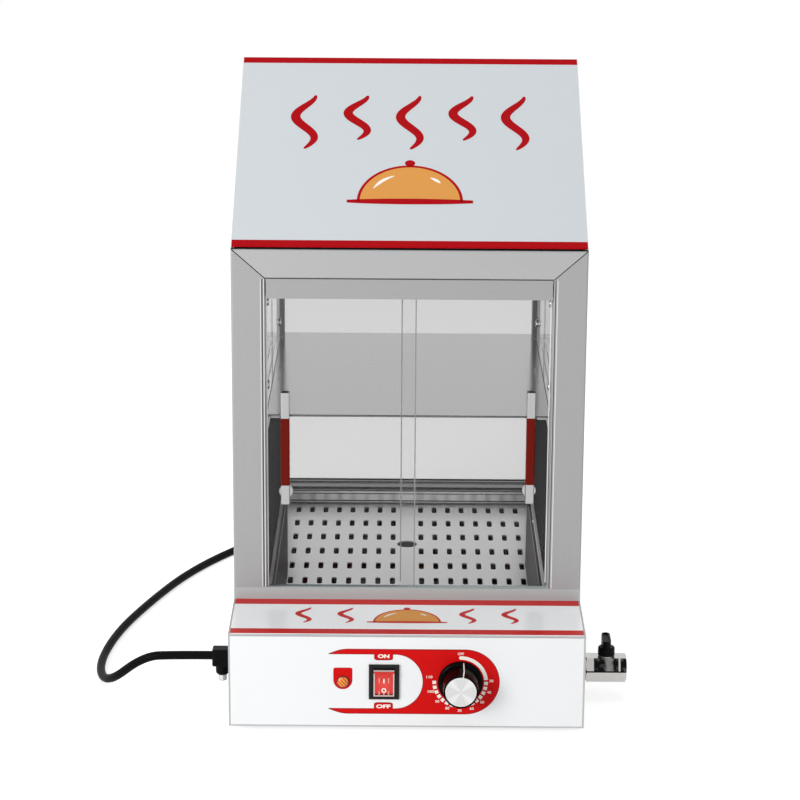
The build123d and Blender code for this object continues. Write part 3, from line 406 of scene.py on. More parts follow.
@dataclass(frozen=True)
class LitMoulding:
    """Clear coloured plastic with a lamp behind it, its glow painted into the colour: brighter in the middle,
    deeper at its ends.
    """

    name: str
    tone: Colour
    deep: Colour
    centre: Pair
    reach: float
    roughness: float = 0.25

    def build(self) -> Material:
        """Return the material: the painted glow falls off with the distance from the middle."""
        graph = Graph(self.name)
        away, _ = graph.polar(self.centre)
        cloud = graph.cloud(260.0, 2.0)
        fall = graph.math("ADD", graph.math("DIVIDE", away, self.reach), graph.ramp(cloud, -0.2, 0.2))
        return graph.principled(
            Base_Color=graph.blend(graph.math("MINIMUM", fall, 1.0), self.tone, self.deep),
            Roughness=self.roughness,
            Specular_IOR_Level=0.3,
        )


@dataclass(frozen=True)
class HatchedLens:
    """Lamp lens with slanting ribs moulded inside it and a dark seat round it."""

    name: str
    tone: Colour
    rib: Colour
    seat: Colour
    centre: Pair
    seat_radius: float
    pitch: float = 0.0031

    def build(self) -> Material:
        """Return the material: ribs where sin(2 pi (x + 0.9 z) / pitch) is high."""
        graph = Graph(self.name)
        reach, _ = graph.polar(self.centre)
        x, _, z = graph.axes()
        slanted = graph.math("ADD", x, graph.math("MULTIPLY", z, 0.9))
        wave = graph.math("SINE", graph.math("MULTIPLY", slanted, 2 * pi / self.pitch))
        line = graph.math("MULTIPLY", graph.math("MAXIMUM", wave, 0.0), 0.85)
        colour = graph.blend(line, self.tone, self.rib)
        seated = graph.math("GREATER_THAN", reach, self.seat_radius)
        return graph.principled(
            Base_Color=graph.blend(seated, colour, self.seat),
            Roughness=0.15,
            Specular_IOR_Level=0.4,
        )


@dataclass(frozen=True)
class PlatedBar:
    """Nickel-plated hexagon bar along X: pale flats, and one flat with a painted reflection of darker things.

    The painted dark flat is picked by the angle about the bar's axis; run says how dark it is along x.
    """

    name: str
    tone: Colour
    dark: Colour
    axis: Pair
    ends: Pair
    run: tuple[Pair, ...]

    def build(self) -> Material:
        """Return the material: the painted reflection's share = run(x) * (1.4 - 0.8 noise) where 0 < angle <
        pi/3.
        """
        graph = Graph(self.name)
        x, y, z = graph.axes()
        ahead = graph.math("SUBTRACT", self.axis[0], y)
        upward = graph.math("SUBTRACT", z, self.axis[1])
        angle = graph.math("ARCTAN2", upward, ahead)
        away = graph.math("ABSOLUTE", graph.math("SUBTRACT", angle, pi / 6))
        flat = graph.math("LESS_THAN", away, pi / 6)
        place = graph.math("SUBTRACT", x, self.ends[0])
        place = graph.math("DIVIDE", place, self.ends[1] - self.ends[0])
        bands = graph.node("ValToRGB", Fac=place)
        steps = bands.color_ramp.elements
        steps[0].position, steps[1].position = self.run[0][0], self.run[-1][0]
        for position, _ in self.run[1:-1]:
            steps.new(position)
        for step, (_, share) in zip(steps, self.run):
            step.color = (share, share, share, 1.0)
        mottle = graph.cloud(230.0, 3.0)
        grain = graph.cloud(900.0, 2.0)
        cloud = graph.math("SUBTRACT", 1.4, graph.math("MULTIPLY", mottle, 0.8))
        share = graph.math("MULTIPLY", bands.outputs[0], cloud)
        share = graph.math("MAXIMUM", share, graph.math("LESS_THAN", angle, 0.09))
        share = graph.math("MULTIPLY", graph.math("MINIMUM", share, 1.0), flat)
        soft = shaded(self.tone, 0.8)
        return graph.principled(
            Base_Color=graph.blend(share, graph.blend(grain, soft, self.tone), self.dark),
            Metallic=1.0,
            Roughness=0.18,
        )


# ---------------------------------------------------------------- surfaces


def put_mesh(name: str, points: np.ndarray, faces: np.ndarray) -> Thing:
    """Make a mesh object from whole arrays.

    Args:
        name: the object's name.
        points: (n, 3) vertices in metres.
        faces: (m, 4) vertex numbers.

    Returns:
        The linked object, at the origin.
    """
    mesh = bpy.data.meshes.new(name)
    mesh.from_pydata(points.astype(float), [], faces.tolist())
    mesh.update()
    made = bpy.data.objects.new(name, mesh)
    bpy.context.scene.collection.objects.link(made)
    return made


def grid_faces(rows: int, columns: int, close: bool = False) -> np.ndarray:
    """Quads of a rows by columns grid, joined at its columns' ends if close. Returns (m, 4)."""
    row = np.arange(rows - 1)[:, None]
    column = np.arange(columns if close else columns - 1)[None, :]
    after = (column + 1) % columns
    corners = (
        row * columns + column,
        row * columns + after,
        (row + 1) * columns + after,
        (row + 1) * columns + column,
    )
    shape = (rows - 1, column.size)
    return np.stack([np.broadcast_to(corner, shape) for corner in corners], -1).reshape(-1, 4)


@dataclass(frozen=True)
class Sheet:
    """A flat printed face: flat (x, y) places on it become points in the object's frame."""

    origin: Triple
    along: Triple
    up: Triple

    def lift(self, flat: np.ndarray, height: float) -> np.ndarray:
        """Point = origin + x*along + y*up + height*(along cross up).

        Args:
            flat: (..., 2) places in metres.
            height: how far above the face, in metres.

        Returns:
            (..., 3) points.
        """
        along, up = np.array(self.along), np.array(self.up)
        lifted = np.array(self.origin) + height * np.cross(along, up)
        return lifted + flat[..., :1] * along + flat[..., 1:] * up


def upright_sheet(y: float, z: float = 0.0) -> Sheet:
    """Face at depth y that looks to the front, with its flat y from height z up. Returns it."""
    return Sheet((0.0, y, z), (1.0, 0.0, 0.0), (0.0, 0.0, 1.0))


def level_sheet(z: float, y: float = 0.0) -> Sheet:
    """Face at height z that looks up, with its flat y from depth y back. Returns it."""
    return Sheet((0.0, y, z), (1.0, 0.0, 0.0), (0.0, 1.0, 0.0))


@dataclass(frozen=True)
class Ink:
    """One printed shape's place in the stack of inks, and its material."""

    finish: Material
    slot: Slot
    layer: int = 1
    body: str = "cabinet"

    STEP = 0.00004

    def print_grid(self, name: str, sheet: Sheet, flat: np.ndarray, close: bool) -> Thing:
        """Print a (rows, columns, 2) grid of flat places as one thin face.

        Args:
            name: the object's name.
            sheet: the face that it lies on.
            flat: the grid; its rows run from one edge of the shape to the other.
            close: whether the columns close into a ring.

        Returns:
            The printed object.
        """
        rows, columns, _ = flat.shape
        points = sheet.lift(flat, self.layer * self.STEP).reshape(-1, 3)
        faces = grid_faces(rows, columns, close)
        made = put_mesh(name, points, faces)
        normal = np.cross(np.array(sheet.along), np.array(sheet.up))
        if made.data.polygons and Vector(normal).dot(made.data.polygons[len(faces) // 2].normal) < 0:
            made.data.flip_normals()
        made.data.materials.append(self.finish)
        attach(made, self.body)
        return made

    def print_line(
        self,
        name: str,
        sheet: Sheet,
        start: Pair,
        end: Pair,
        width: float,
        count: int = 8,
    ) -> None:
        """Print a straight line.

        Args:
            name: the object's name.
            sheet: the face that it lies on.
            start: flat place of one end.
            end: flat place of the other end.
            width: its width.
            count: number of points along it.
        """
        self.print_grid(name, sheet, ribbon(np.linspace(start, end, count), width), False)


def ribbon(path: np.ndarray, width: np.ndarray | float) -> np.ndarray:
    """Stroke of a given width along a flat path: path plus or minus half a width along its normal.

    Args:
        path: (n, 2) centre line.
        width: the stroke's width, one number or one for each point.

    Returns:
        (2, n, 2) grid.
    """
    slope = np.gradient(path, axis=0)
    slope /= np.linalg.norm(slope, axis=1, keepdims=True)
    across = np.stack([-slope[:, 1], slope[:, 0]], 1) * (np.broadcast_to(width, len(path)) / 2)[:, None]
    return np.stack([path - across, path + across])


def arc(centre: Pair, radius: float, start: float, end: float, count: int = 40) -> np.ndarray:
    """Points round a circle, with angles in degrees clockwise from straight up. Returns (n, 2)."""
    turn = np.radians(np.linspace(start, end, count))
    return np.stack([centre[0] + radius * np.sin(turn), centre[1] + radius * np.cos(turn)], 1)


def blob(centre: Pair, half: Pair, power: float) -> np.ndarray:
    """Filled superellipse |x/a|^p + |y/b|^p = 1, from its middle out.

    Args:
        centre: its middle.
        half: its half width and half height.
        power: 2 is an ellipse, larger is nearer a rectangle.

    Returns:
        (3, n, 2) grid that closes into a ring.
    """
    turn = np.linspace(0, 2 * pi, 72, endpoint=False)
    across = half[0] * np.sign(np.cos(turn)) * np.abs(np.cos(turn)) ** (2 / power)
    upward = half[1] * np.sign(np.sin(turn)) * np.abs(np.sin(turn)) ** (2 / power)
    rim = np.stack([across, upward], 1)
    share = np.array([0.02, 0.5, 1.0])[:, None, None]
    return np.array(centre) + share * rim[None]


def lettering(
    name: str,
    text: str,
    size: Pair,
    sheet: Sheet,
    at: Pair,
    ink: Ink,
    bold: float,
) -> Thing:
    """Generic marks such as numbers and ON or OFF, centred at a flat place.

    Args:
        name: the object's name.
        text: the mark.
        size: its width and height in metres.
        sheet: the face.
        at: flat place of the middle.
        ink: its ink.
        bold: extra stroke width, as a share of the height.

    Returns:
        The mark as a flat mesh.
    """
    curve = bpy.data.curves.new(name, "FONT")
    curve.body = text
    curve.align_x, curve.align_y = "CENTER", "CENTER"
    curve.size = size[1] / 0.7
    curve.offset = bold * size[1]
    holder = bpy.data.objects.new(name + "_curve", curve)
    bpy.context.scene.collection.objects.link(holder)
    bpy.context.view_layer.update()
    mesh = bpy.data.meshes.new_from_object(holder)
    bpy.data.objects.remove(holder)
    flat = np.zeros(len(mesh.vertices) * 3)
    mesh.vertices.foreach_get("co", flat)
    flat = flat.reshape(-1, 3)[:, :2]
    low, high = flat.min(0), flat.max(0)
    flat = (flat - (low + high) / 2) * np.array(size) / (high - low) + np.array(at)
    mesh.vertices.foreach_set("co", sheet.lift(flat, ink.layer * ink.STEP).ravel())
    mesh.update()
    mesh.materials.clear()
    mesh.materials.append(ink.finish)
    made = bpy.data.objects.new(name, mesh)
    bpy.context.scene.collection.objects.link(made)
    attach(made, ink.body)
    return made


def turned(
    name: str, axis: Pair, profile: np.ndarray, finish: Material
) -> Thing:
    """Surface of revolution about an upright axis: (x + r(t) cos a, y + r(t) sin a, z(t)).

    Its faces point outwards where the profile runs upwards.

    Args:
        name: the object's name.
        axis: the axis's x and y.
        profile: (n, 2) radius and height, from the bottom up.
        finish: its material.

    Returns:
        The smooth turned skin.
    """
    angle = np.linspace(0, 2 * pi, 40, endpoint=False)
    radius, height = profile[:, :1], profile[:, 1:]
    rings = [axis[0] + radius * np.cos(angle), axis[1] + radius * np.sin(angle), height + 0 * angle]
    made = put_mesh(name, np.stack(rings, -1).reshape(-1, 3), grid_faces(len(profile), len(angle), True))
    made.data.shade_smooth()
    made.data.materials.append(finish)
    return made


def dress(names: list[str], finish: Material) -> None:
    """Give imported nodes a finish.

    Args:
        names: the nodes.
        finish: the material put on them.
    """
    for name in names:
        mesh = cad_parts[name].data
        mesh.materials.clear()
        mesh.materials.append(finish)
        log.info("dressed %s with %s", name, finish.name)


# ---------------------------------------------------------------- camera and light


@dataclass
class Studio:
    """Camera, pale floor, soft lamps and a white surround."""

    eye: Triple = (-0.005707, -2.313783, 0.896762)
    right: Triple = (0.999976, 0.002544, 0.006444)
    up: Triple = (-0.006895, 0.274851, 0.961462)
    ahead: Triple = (-0.000675, 0.961483, -0.274862)
    focal_pixels: float = 2693.87
    image_width: float = 800.0
    sensor: float = 36.0

    def camera(self) -> None:
        """Set up the camera from its solved place and its three directions."""
        data = bpy.data.cameras.new("camera")
        data.sensor_width = self.sensor
        data.lens = self.focal_pixels / self.image_width * self.sensor
        data.clip_start, data.clip_end = 0.05, 30.0
        holder = bpy.data.objects.new("camera", data)
        bpy.context.scene.collection.objects.link(holder)
        turn = Matrix((self.right, self.up, [-part for part in self.ahead])).transposed()
        holder.matrix_world = Matrix.Translation(self.eye) @ turn.to_4x4()
        bpy.context.scene.camera = holder

    def floor(self) -> None:
        """A pale floor that looks white to the camera and in reflections but takes a shadow."""
        graph = Graph("studio_floor")
        paths = graph.node("LightPath")
        seen = graph.math("MAXIMUM", paths.outputs["Is Glossy Ray"], paths.outputs["Is Transmission Ray"])
        seen = graph.math("MAXIMUM", seen, paths.outputs["Is Camera Ray"])
        pale = graph.node("BsdfDiffuse", Color=(0.8, 0.8, 0.8, 1.0))
        glow = graph.node("Emission", Color=(1.0, 1.0, 1.0, 1.0), Strength=0.62)
        both = graph.join("AddShader", pale, glow)
        choice = graph.join("MixShader", pale, both, Fac=seen)
        grid = np.stack(np.meshgrid([-6.0, 6.0], [-6.0, 6.0]), -1).reshape(-1, 2)
        points = np.concatenate([grid, np.zeros((4, 1))], 1)
        plane = put_mesh("studio_floor", points, np.array([[0, 1, 3, 2]]))
        plane.data.materials.append(graph.finish(choice))

    def lamp(self, name: str, place: Triple, size: float, power: float) -> None:
        """One square soft lamp aimed at the middle of the object.

        Args:
            name: its name.
            place: where it stands.
            size: its edge.
            power: watts.
        """
        data = bpy.data.lights.new(name, "AREA")
        data.shape, data.size, data.energy = "SQUARE", size, power
        holder = bpy.data.objects.new(name, data)
        holder.location = place
        aim = Vector((0.0, 0.0, 0.25)) - Vector(place)
        holder.rotation_euler = aim.to_track_quat("-Z", "Y").to_euler()
        bpy.context.scene.collection.objects.link(holder)

    def world(self) -> None:
        """White where it is seen straight, in gloss or through glass; softer as light."""
        world = bpy.data.worlds.new("studio")
        bpy.context.scene.world = world
        world.use_nodes = True
        tree = world.node_tree
        tree.nodes.clear()
        paths = tree.nodes.new("ShaderNodeLightPath")
        seen = paths.outputs["Is Camera Ray"]
        for ray in ("Is Glossy Ray", "Is Transmission Ray"):
            most = tree.nodes.new("ShaderNodeMath")
            most.operation = "MAXIMUM"
            tree.links.new(seen, most.inputs[0])
            tree.links.new(paths.outputs[ray], most.inputs[1])
            seen = most.outputs[0]
        strength = tree.nodes.new("ShaderNodeMapRange")
        strength.inputs["To Min"].default_value = 0.45
        strength.inputs["To Max"].default_value = 1.0
        tree.links.new(seen, strength.inputs["Value"])
        ground = tree.nodes.new("ShaderNodeBackground")
        tree.links.new(strength.outputs[0], ground.inputs["Strength"])
        ground.inputs["Color"].default_value = (1.0, 1.0, 1.0, 1.0)
        output = tree.nodes.new("ShaderNodeOutputWorld")
        tree.links.new(ground.outputs[0], output.inputs[0])

    def build(self) -> None:
        """Make the whole studio."""
        self.camera()
        self.floor()
        self.world()
        self.lamp("key", (-1.9, -2.2, 1.0), 1.4, 54.0)
        self.lamp("fill", (1.9, -1.6, 1.2), 1.6, 3.0)
        self.lamp("top", (0.0, 0.2, 2.4), 1.6, 11.0)
        bpy.context.scene.view_settings.view_transform = "Standard"
        log.info("studio ready")


# ---------------------------------------------------------------- mains cord


@dataclass
class MainsCord:
    """Mains lead: out of its clamp, down to the counter, round the side to a tied coil."""

    diameter: float = 0.0075
    low: float = 0.0038
    entry: Pair = (-0.046, 0.337)
    coil_middle: Pair = (0.012, 0.292)
    coil_radius: float = 0.04125
    tail: float = 0.066
    length: float = 1.82
    turn_points: int = 12
    route: list[Triple] = field(
        default_factory=lambda: [
            (-0.1675, -0.140, 0.0452),
            (-0.200, -0.140, 0.0452),
            (-0.227, -0.140, 0.0440),
            (-0.262, -0.117, 0.0085),
            (-0.276, -0.062, 0.0038),
            (-0.268, 0.020, 0.0038),
            (-0.244, 0.105, 0.0038),
            (-0.214, 0.188, 0.0038),
            (-0.170, 0.262, 0.0038),
            (-0.108, 0.337, 0.0038),
            (-0.046, 0.337, 0.0038),
        ]
    )

    def turns(self) -> np.ndarray:
        """Four turns, clockwise from above: outer and inner below, then inner and outer above.

        The radius and the height ease from one lay to the next over the last part of a turn.
        """
        angle = np.linspace(0, 8 * pi, 4 * self.turn_points + 1)
        lap = angle / (2 * pi)
        half = self.diameter / 2
        marks = np.array([0.0, 0.75, 1.0, 1.75, 2.0, 2.75, 3.0, 4.0])
        reach = np.interp(lap, marks, self.coil_radius + half * np.array([1, 1, -1, -1, -1, -1, 1, 1]))
        height = np.interp(lap, marks, self.low + self.diameter * np.array([0, 0, 0, 0, 1, 1, 1, 1]))
        reach /= cos(pi / self.turn_points)
        across = self.coil_middle[0] + reach * np.sin(angle)
        deep = self.coil_middle[1] + reach * np.cos(angle)
        return np.stack([across, deep, height], 1)

    def build(self, sheath: Material) -> None:
        """Make the lead as one smooth curve through its route and its turns.

        Args:
            sheath: its material.
        """
        end = (self.coil_middle[0] + self.tail, self.entry[1], self.low + self.diameter)
        points = np.concatenate([np.array(self.route), self.turns(), np.array([end])])
        curve = bpy.data.curves.new("mains_cord", "CURVE")
        curve.dimensions = "3D"
        curve.bevel_depth = self.diameter / 2
        curve.bevel_resolution = 6
        curve.use_fill_caps = True
        spline = curve.splines.new("NURBS")
        spline.points.add(len(points) - 1)
        weighted = np.concatenate([points, np.ones((len(points), 1))], 1)
        spline.points.foreach_set("co", weighted.ravel())
        spline.order_u = 3
        spline.use_endpoint_u = True
        spline.resolution_u = 8
        cord = bpy.data.objects.new("mains_cord", curve)
        bpy.context.scene.collection.objects.link(cord)
        curve.materials.append(sheath)
        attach(cord, "cabinet")
        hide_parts("power_cord", "cord_coil")
        dress(["plug"], sheath)
        log.info("mains cord with %d route points", len(points))


# ---------------------------------------------------------------- printed panels


@dataclass(frozen=True)
class Inks:
    """The inks of the printed films."""

    red: Material
    rim: Material
    stripe: Material
    ledge: Material
    gold: Material
    white: Material


def mix_inks() -> Inks:
    """Make the inks. Returns them."""
    return Inks(
        red=Film("ink_red", srgb(214, 14, 14), 0.3, 0.08).build(),
        rim=Film("ink_rim", srgb(160, 20, 32)).build(),
        stripe=Film("ink_stripe", srgb(175, 4, 15), 0.4, 0.03).build(),
        ledge=Film("ink_ledge", srgb(204, 34, 32), 0.3, 0.1).build(),
        gold=Film("ink_gold", srgb(222, 152, 66)).build(),
        white=Film("ink_white", srgb(252, 248, 240)).build(),
    )


@dataclass
class ControlPanel:
    """The front film: a red field round the controls, its two tabs, and the knob's dial."""

    inks: Inks
    sheet: Sheet = upright_sheet(-0.2005)
    middle: float = 0.0463
    half_height: float = 0.0289
    tip_x: float = -0.0656
    bend_x: float = 0.0490
    inner_bend_x: float = -0.0098
    inner_half: float = 0.0246
    inner_reach: float = 0.0236
    switch_x: float = -0.0191
    lamp_x: float = -0.0537
    dial: Pair = (0.0450, 0.0462)
    dial_radius: float = 0.0218
    ring_width: float = 0.0031
    rim_width: float = 0.0007
    tip_taper: float = 0.016
    tab_half: Pair = (0.0075, 0.0035)
    tab_rim_half: Pair = (0.0080, 0.0037)
    shield_half: Triple = (0.0076, 0.0080, 0.0053)
    arc_turn: Pair = (1.0, 84.5)
    tick_turn: tuple[float, float, int] = (92.6, 269.2, 16)
    tick_half_turn: float = 3.9
    number_turn: tuple[float, float, int] = (88.0, 250.0, 8)
    last_number_turn: float = 279.0
    tabs_at: tuple[tuple[str, float, Pair], ...] = (
        ("ON", 0.0228, (0.0098, 0.0034)),
        ("OFF", -0.0224, (0.0122, 0.0034)),
    )

    def outline(self, half: float, bend: float, reach: float, taper: float, count: int = 160) -> np.ndarray:
        """Open outline from the upper tip round the right-hand bend to the lower tip.

        The top line eases up from the tips over the taper length; the bend is half an ellipse.

        Args:
            half: half the height.
            bend: where the bend's middle lies in x.
            reach: the bend's half width.
            taper: length over which the line rises from the tips.
            count: number of points.

        Returns:
            (count, 2) places.
        """
        straight = bend - self.tip_x
        total = 2 * straight + pi * reach
        along = np.linspace(0, total, count)
        turn = np.clip((along - straight) / reach, 0, pi)
        run = np.minimum(along, total - along)
        x = np.where(run < straight, self.tip_x + run, bend + reach * np.sin(turn))
        side = np.where(run < straight, np.sign(total / 2 - along), np.cos(turn))
        ease = np.clip(run / max(taper, 1e-6), 0, 1)
        height = self.inner_half + (half - self.inner_half) * np.sin(ease * pi / 2)
        return np.stack([x, self.middle + side * height], 1)

    def field(self) -> None:
        """The red field, from its inner edge to its outer edge, with a deep red rim."""
        outer = self.outline(self.half_height, self.bend_x, self.half_height, self.tip_taper)
        inner = self.outline(self.inner_half, self.inner_bend_x, self.inner_reach, 0.0)
        Ink(self.inks.red, Slot.FRONT, 1).print_grid(
            "panel_red_field", self.sheet, np.stack([outer, inner]), False
        )
        rim = Ink(self.inks.rim, Slot.FRONT, 2)
        rim.print_grid("panel_outer_rim", self.sheet, ribbon(outer, self.rim_width), False)
        rim.print_grid("panel_inner_rim", self.sheet, ribbon(inner, self.rim_width), False)

    def tabs(self) -> None:
        """The ON and OFF tabs above and below the switch, and the shield behind the lamp."""
        for word, drop, size in self.tabs_at:
            at = (self.switch_x - 0.0004, self.middle + drop)
            name = f"panel_tab_{word.lower()}"
            rim = Ink(self.inks.rim, Slot.FRONT, 3)
            rim.print_grid(name + "_rim", self.sheet, blob(at, self.tab_rim_half, 5.0), True)
            red = Ink(self.inks.red, Slot.FRONT, 4)
            red.print_grid(name, self.sheet, blob((at[0], at[1] + drop * 0.03), self.tab_half, 5.0), True)
            lettering(name + "_word", word, size, self.sheet, at, Ink(self.inks.white, Slot.FRONT, 5), 0.07)
        heart = (self.lamp_x, self.middle + 0.0013)
        half, drop, rise = self.shield_half
        for name, finish, layer, grow in (("rim", self.inks.rim, 3, 0.0004), ("face", self.inks.red, 5, 0.0)):
            low = blob(heart, (half + grow, drop + grow), 2.0)
            Ink(finish, Slot.FRONT, layer).print_grid(f"panel_shield_{name}_round", self.sheet, low, True)
            high = blob((heart[0], heart[1] + rise), (half + grow, rise + grow), 9.0)
            upper = Ink(finish, Slot.FRONT, layer + 1)
            upper.print_grid(f"panel_shield_{name}_square", self.sheet, high, True)

    def scale(self) -> None:
        """The dial: a solid arc from OFF, then short ticks, and plain numbers outside them."""
        ink = Ink(self.inks.white, Slot.FRONT, 3)
        sweep = arc(self.dial, self.dial_radius, *self.arc_turn)
        ink.print_grid("dial_arc", self.sheet, ribbon(sweep, self.ring_width), False)
        cap = Ink(self.inks.white, Slot.FRONT, 4)
        start = blob(tuple(sweep[0]), (self.ring_width / 2,) * 2, 2.0)
        cap.print_grid("dial_arc_cap", self.sheet, start, True)
        for count, angle in enumerate(np.linspace(*self.tick_turn)):
            low, high = angle - self.tick_half_turn, angle + self.tick_half_turn
            tick = arc(self.dial, self.dial_radius, low, high, 4)
            ink.print_grid(f"dial_tick_{count + 1}", self.sheet, ribbon(tick, self.ring_width), False)
        for count, angle in enumerate((*np.linspace(*self.number_turn), self.last_number_turn)):
            spot = arc((self.dial[0], self.dial[1] + 0.0004), self.dial_radius + 0.0044, angle, angle, 1)[0]
            number = str(30 + 10 * count)
            size = (0.0017 * len(number), 0.0023)
            lettering(f"dial_number_{number}", number, size, self.sheet, tuple(spot), ink, 0.03)
        top = (self.dial[0] + 0.0003, self.dial[1] + self.dial_radius + 0.0036)
        lettering("dial_word_off", "OFF", (0.0052, 0.0023), self.sheet, top, ink, 0.03)

    def build(self) -> None:
        """Print the whole panel."""
        self.field()
        self.tabs()
        self.scale()
        log.info("control panel printed")


@dataclass
class StripedFilm:
    """A film with a red stripe along each long edge."""

    name: str
    inks: Inks
    line: Material
    slot: Slot
    sheet: Sheet
    half_width: float
    stripes: tuple[Pair, ...]

    def stripe(self) -> None:
        """Print the stripes: each is a straight ribbon over the film's width."""
        for count, (low, high) in enumerate(self.stripes):
            name, middle = f"{self.name}_stripe_{count + 1}", (low + high) / 2
            ends = (-self.half_width, middle), (self.half_width, middle)
            Ink(self.line, self.slot, 1).print_line(name, self.sheet, *ends, high - low)

    def wisp(self, name: str, foot: Pair, height: float, sway: float, width: float) -> None:
        """One rising wisp: x sways as a sine over one and a quarter turns, tapering at both ends.

        Args:
            name: the stroke's name.
            foot: its lower end.
            height: how far it rises.
            sway: the sine's reach.
            width: its widest stroke.
        """
        rise = np.linspace(0, 1, 60)
        path = np.stack([foot[0] + sway * np.sin(rise * 2.5 * pi), foot[1] + rise * height], 1)
        stroke = width * (0.18 + 0.82 * np.sin(pi * rise) ** 0.6)
        Ink(self.line, self.slot, 2).print_grid(name, self.sheet, ribbon(path, stroke), False)

    def cover(self, middle: Pair, half: float, tall: float) -> None:
        """A plain serving cover on its dish: a half dome with a knob, a rim and two glints.

        Args:
            middle: the middle of its foot.
            half: half its width.
            tall: its height.
        """
        sweep = np.linspace(-pi / 2, pi / 2, 60)
        rim = np.stack([middle[0] + half * np.sin(sweep), middle[1] + tall * np.cos(sweep)], 1)
        foot = np.stack([rim[:, 0], np.full(len(rim), middle[1])], 1)
        dome = np.stack([foot, rim])
        Ink(self.inks.gold, self.slot, 2).print_grid(f"{self.name}_cover", self.sheet, dome, False)
        line = Ink(self.line, self.slot, 3)
        line.print_grid(f"{self.name}_cover_line", self.sheet, ribbon(rim, tall * 0.055), False)
        dish = np.linspace([middle[0] - half * 1.22, middle[1]], [middle[0] + half * 1.22, middle[1]], 12)
        thick = tall * 0.16 * np.sin(np.linspace(0.25, pi - 0.25, 12)) ** 0.5
        line.print_grid(f"{self.name}_dish", self.sheet, ribbon(dish, thick), False)
        top = (middle[0], middle[1] + tall * 1.09)
        line.print_grid(f"{self.name}_knob", self.sheet, blob(top, (tall * 0.1, tall * 0.09), 2.0), True)
        glint = Ink(self.inks.white, self.slot, 4)
        for count, (start, end) in enumerate(((-62, -22), (30, 48))):
            turn = np.radians(np.linspace(start, end, 24))
            across, upward = 0.8 * half * np.sin(turn), 0.78 * tall * np.cos(turn)
            path = np.stack([middle[0] + across, middle[1] + upward], 1)
            stroke = tall * 0.07 * np.sin(np.linspace(0.2, pi - 0.2, 24))
            glint.print_grid(f"{self.name}_glint_{count + 1}", self.sheet, ribbon(path, stroke), False)


@dataclass
class RoofSign:
    """The sign on the front slope: stripes, five wisps of steam and a serving cover."""

    inks: Inks
    eave: Pair = (-0.114, 0.4)
    ridge: Pair = (0.0935, 0.527)
    thickness: float = 0.0006
    film_half: float = 0.1492
    stripes: Pair = (0.0081, 0.2356)
    hem_height: float = 0.0006
    hem_width: float = 0.0010
    hem_lift: float = 0.0002
    gap_width: float = 0.0014
    gap_edge: Triple = (0.0025, 0.1472, 0.39925)
    gap_rest: Triple = (0.3985, 0.1486, -0.1123)
    wisps: tuple[float, ...] = (-0.092, -0.046, 0.0, 0.046, 0.092)

    def gap(self) -> None:
        """Print painted shade in the gap between the roof and the frame: on its upright face and its floor.
        """
        shade = Ink(Film("eave_shade", srgb(12, 10, 10), 0.5, 0.02).build(), Slot.STEEL, 1)
        inset, half, height = self.gap_edge
        edge = upright_sheet(self.eave[0] + inset)
        shade.print_line("eave_shade_edge", edge, (-half, height), (half, height), self.gap_width)
        floor, half, depth = self.gap_rest
        shade.print_line("eave_shade_rest", level_sheet(floor), (-half, depth), (half, depth), self.gap_width)

    def build(self) -> None:
        """Print the sign."""
        run, rise = self.ridge[0] - self.eave[0], self.ridge[1] - self.eave[1]
        slope = (run**2 + rise**2) ** 0.5
        deep, high = run / slope, rise / slope
        origin = (0.0, self.eave[0] - high * self.thickness, self.eave[1] + deep * self.thickness)
        film = StripedFilm(
            "sign",
            self.inks,
            self.inks.stripe,
            Slot.SIGN,
            Sheet(origin, (1.0, 0.0, 0.0), (0.0, deep, high)),
            self.film_half,
            ((0.0, self.stripes[0]), (self.stripes[1], slope - 0.0001)),
        )
        film.stripe()
        hem = upright_sheet(self.eave[0] - self.hem_lift, self.eave[1])
        ends = (-self.film_half, self.hem_height), (self.film_half, self.hem_height)
        Ink(self.inks.stripe, Slot.SIGN, 1).print_line("sign_hem", hem, *ends, self.hem_width)
        self.gap()
        for count, place in enumerate(self.wisps):
            drop = 0.012 * (count % 2)
            film.wisp(f"sign_wisp_{count + 1}", (place, 0.122 + drop), 0.070 - drop, 0.0085, 0.0085)
        film.cover((0.0, 0.056), 0.044, 0.044)
        log.info("roof sign printed")


@dataclass
class LedgeFilm:
    """The film on the ledge: stripes, four low wisps and a small serving cover."""

    inks: Inks
    film_half: float = 0.1484
    stripes: tuple[Pair, ...] = ((0.0017, 0.0132), (0.0722, 0.0854))
    wisps: tuple[float, ...] = (-0.088, -0.052, 0.052, 0.088)

    def build(self) -> None:
        """Print the film."""
        film = StripedFilm(
            "ledge",
            self.inks,
            self.inks.ledge,
            Slot.LEDGE,
            level_sheet(0.088, -0.2),
            self.film_half,
            self.stripes,
        )
        film.stripe()
        for count, place in enumerate(self.wisps):
            film.wisp(f"ledge_wisp_{count + 1}", (place, 0.028), 0.036, 0.005, 0.0052)
        film.cover((0.0, 0.030), 0.028, 0.030)
        log.info("ledge film printed")


# ---------------------------------------------------------------- controls and fittings


@dataclass(frozen=True)
class Stroke:
    """One straight mark on a rocker face: its ends, its width and its place in the stack."""

    start: Pair
    end: Pair
    width: float
    layer: int


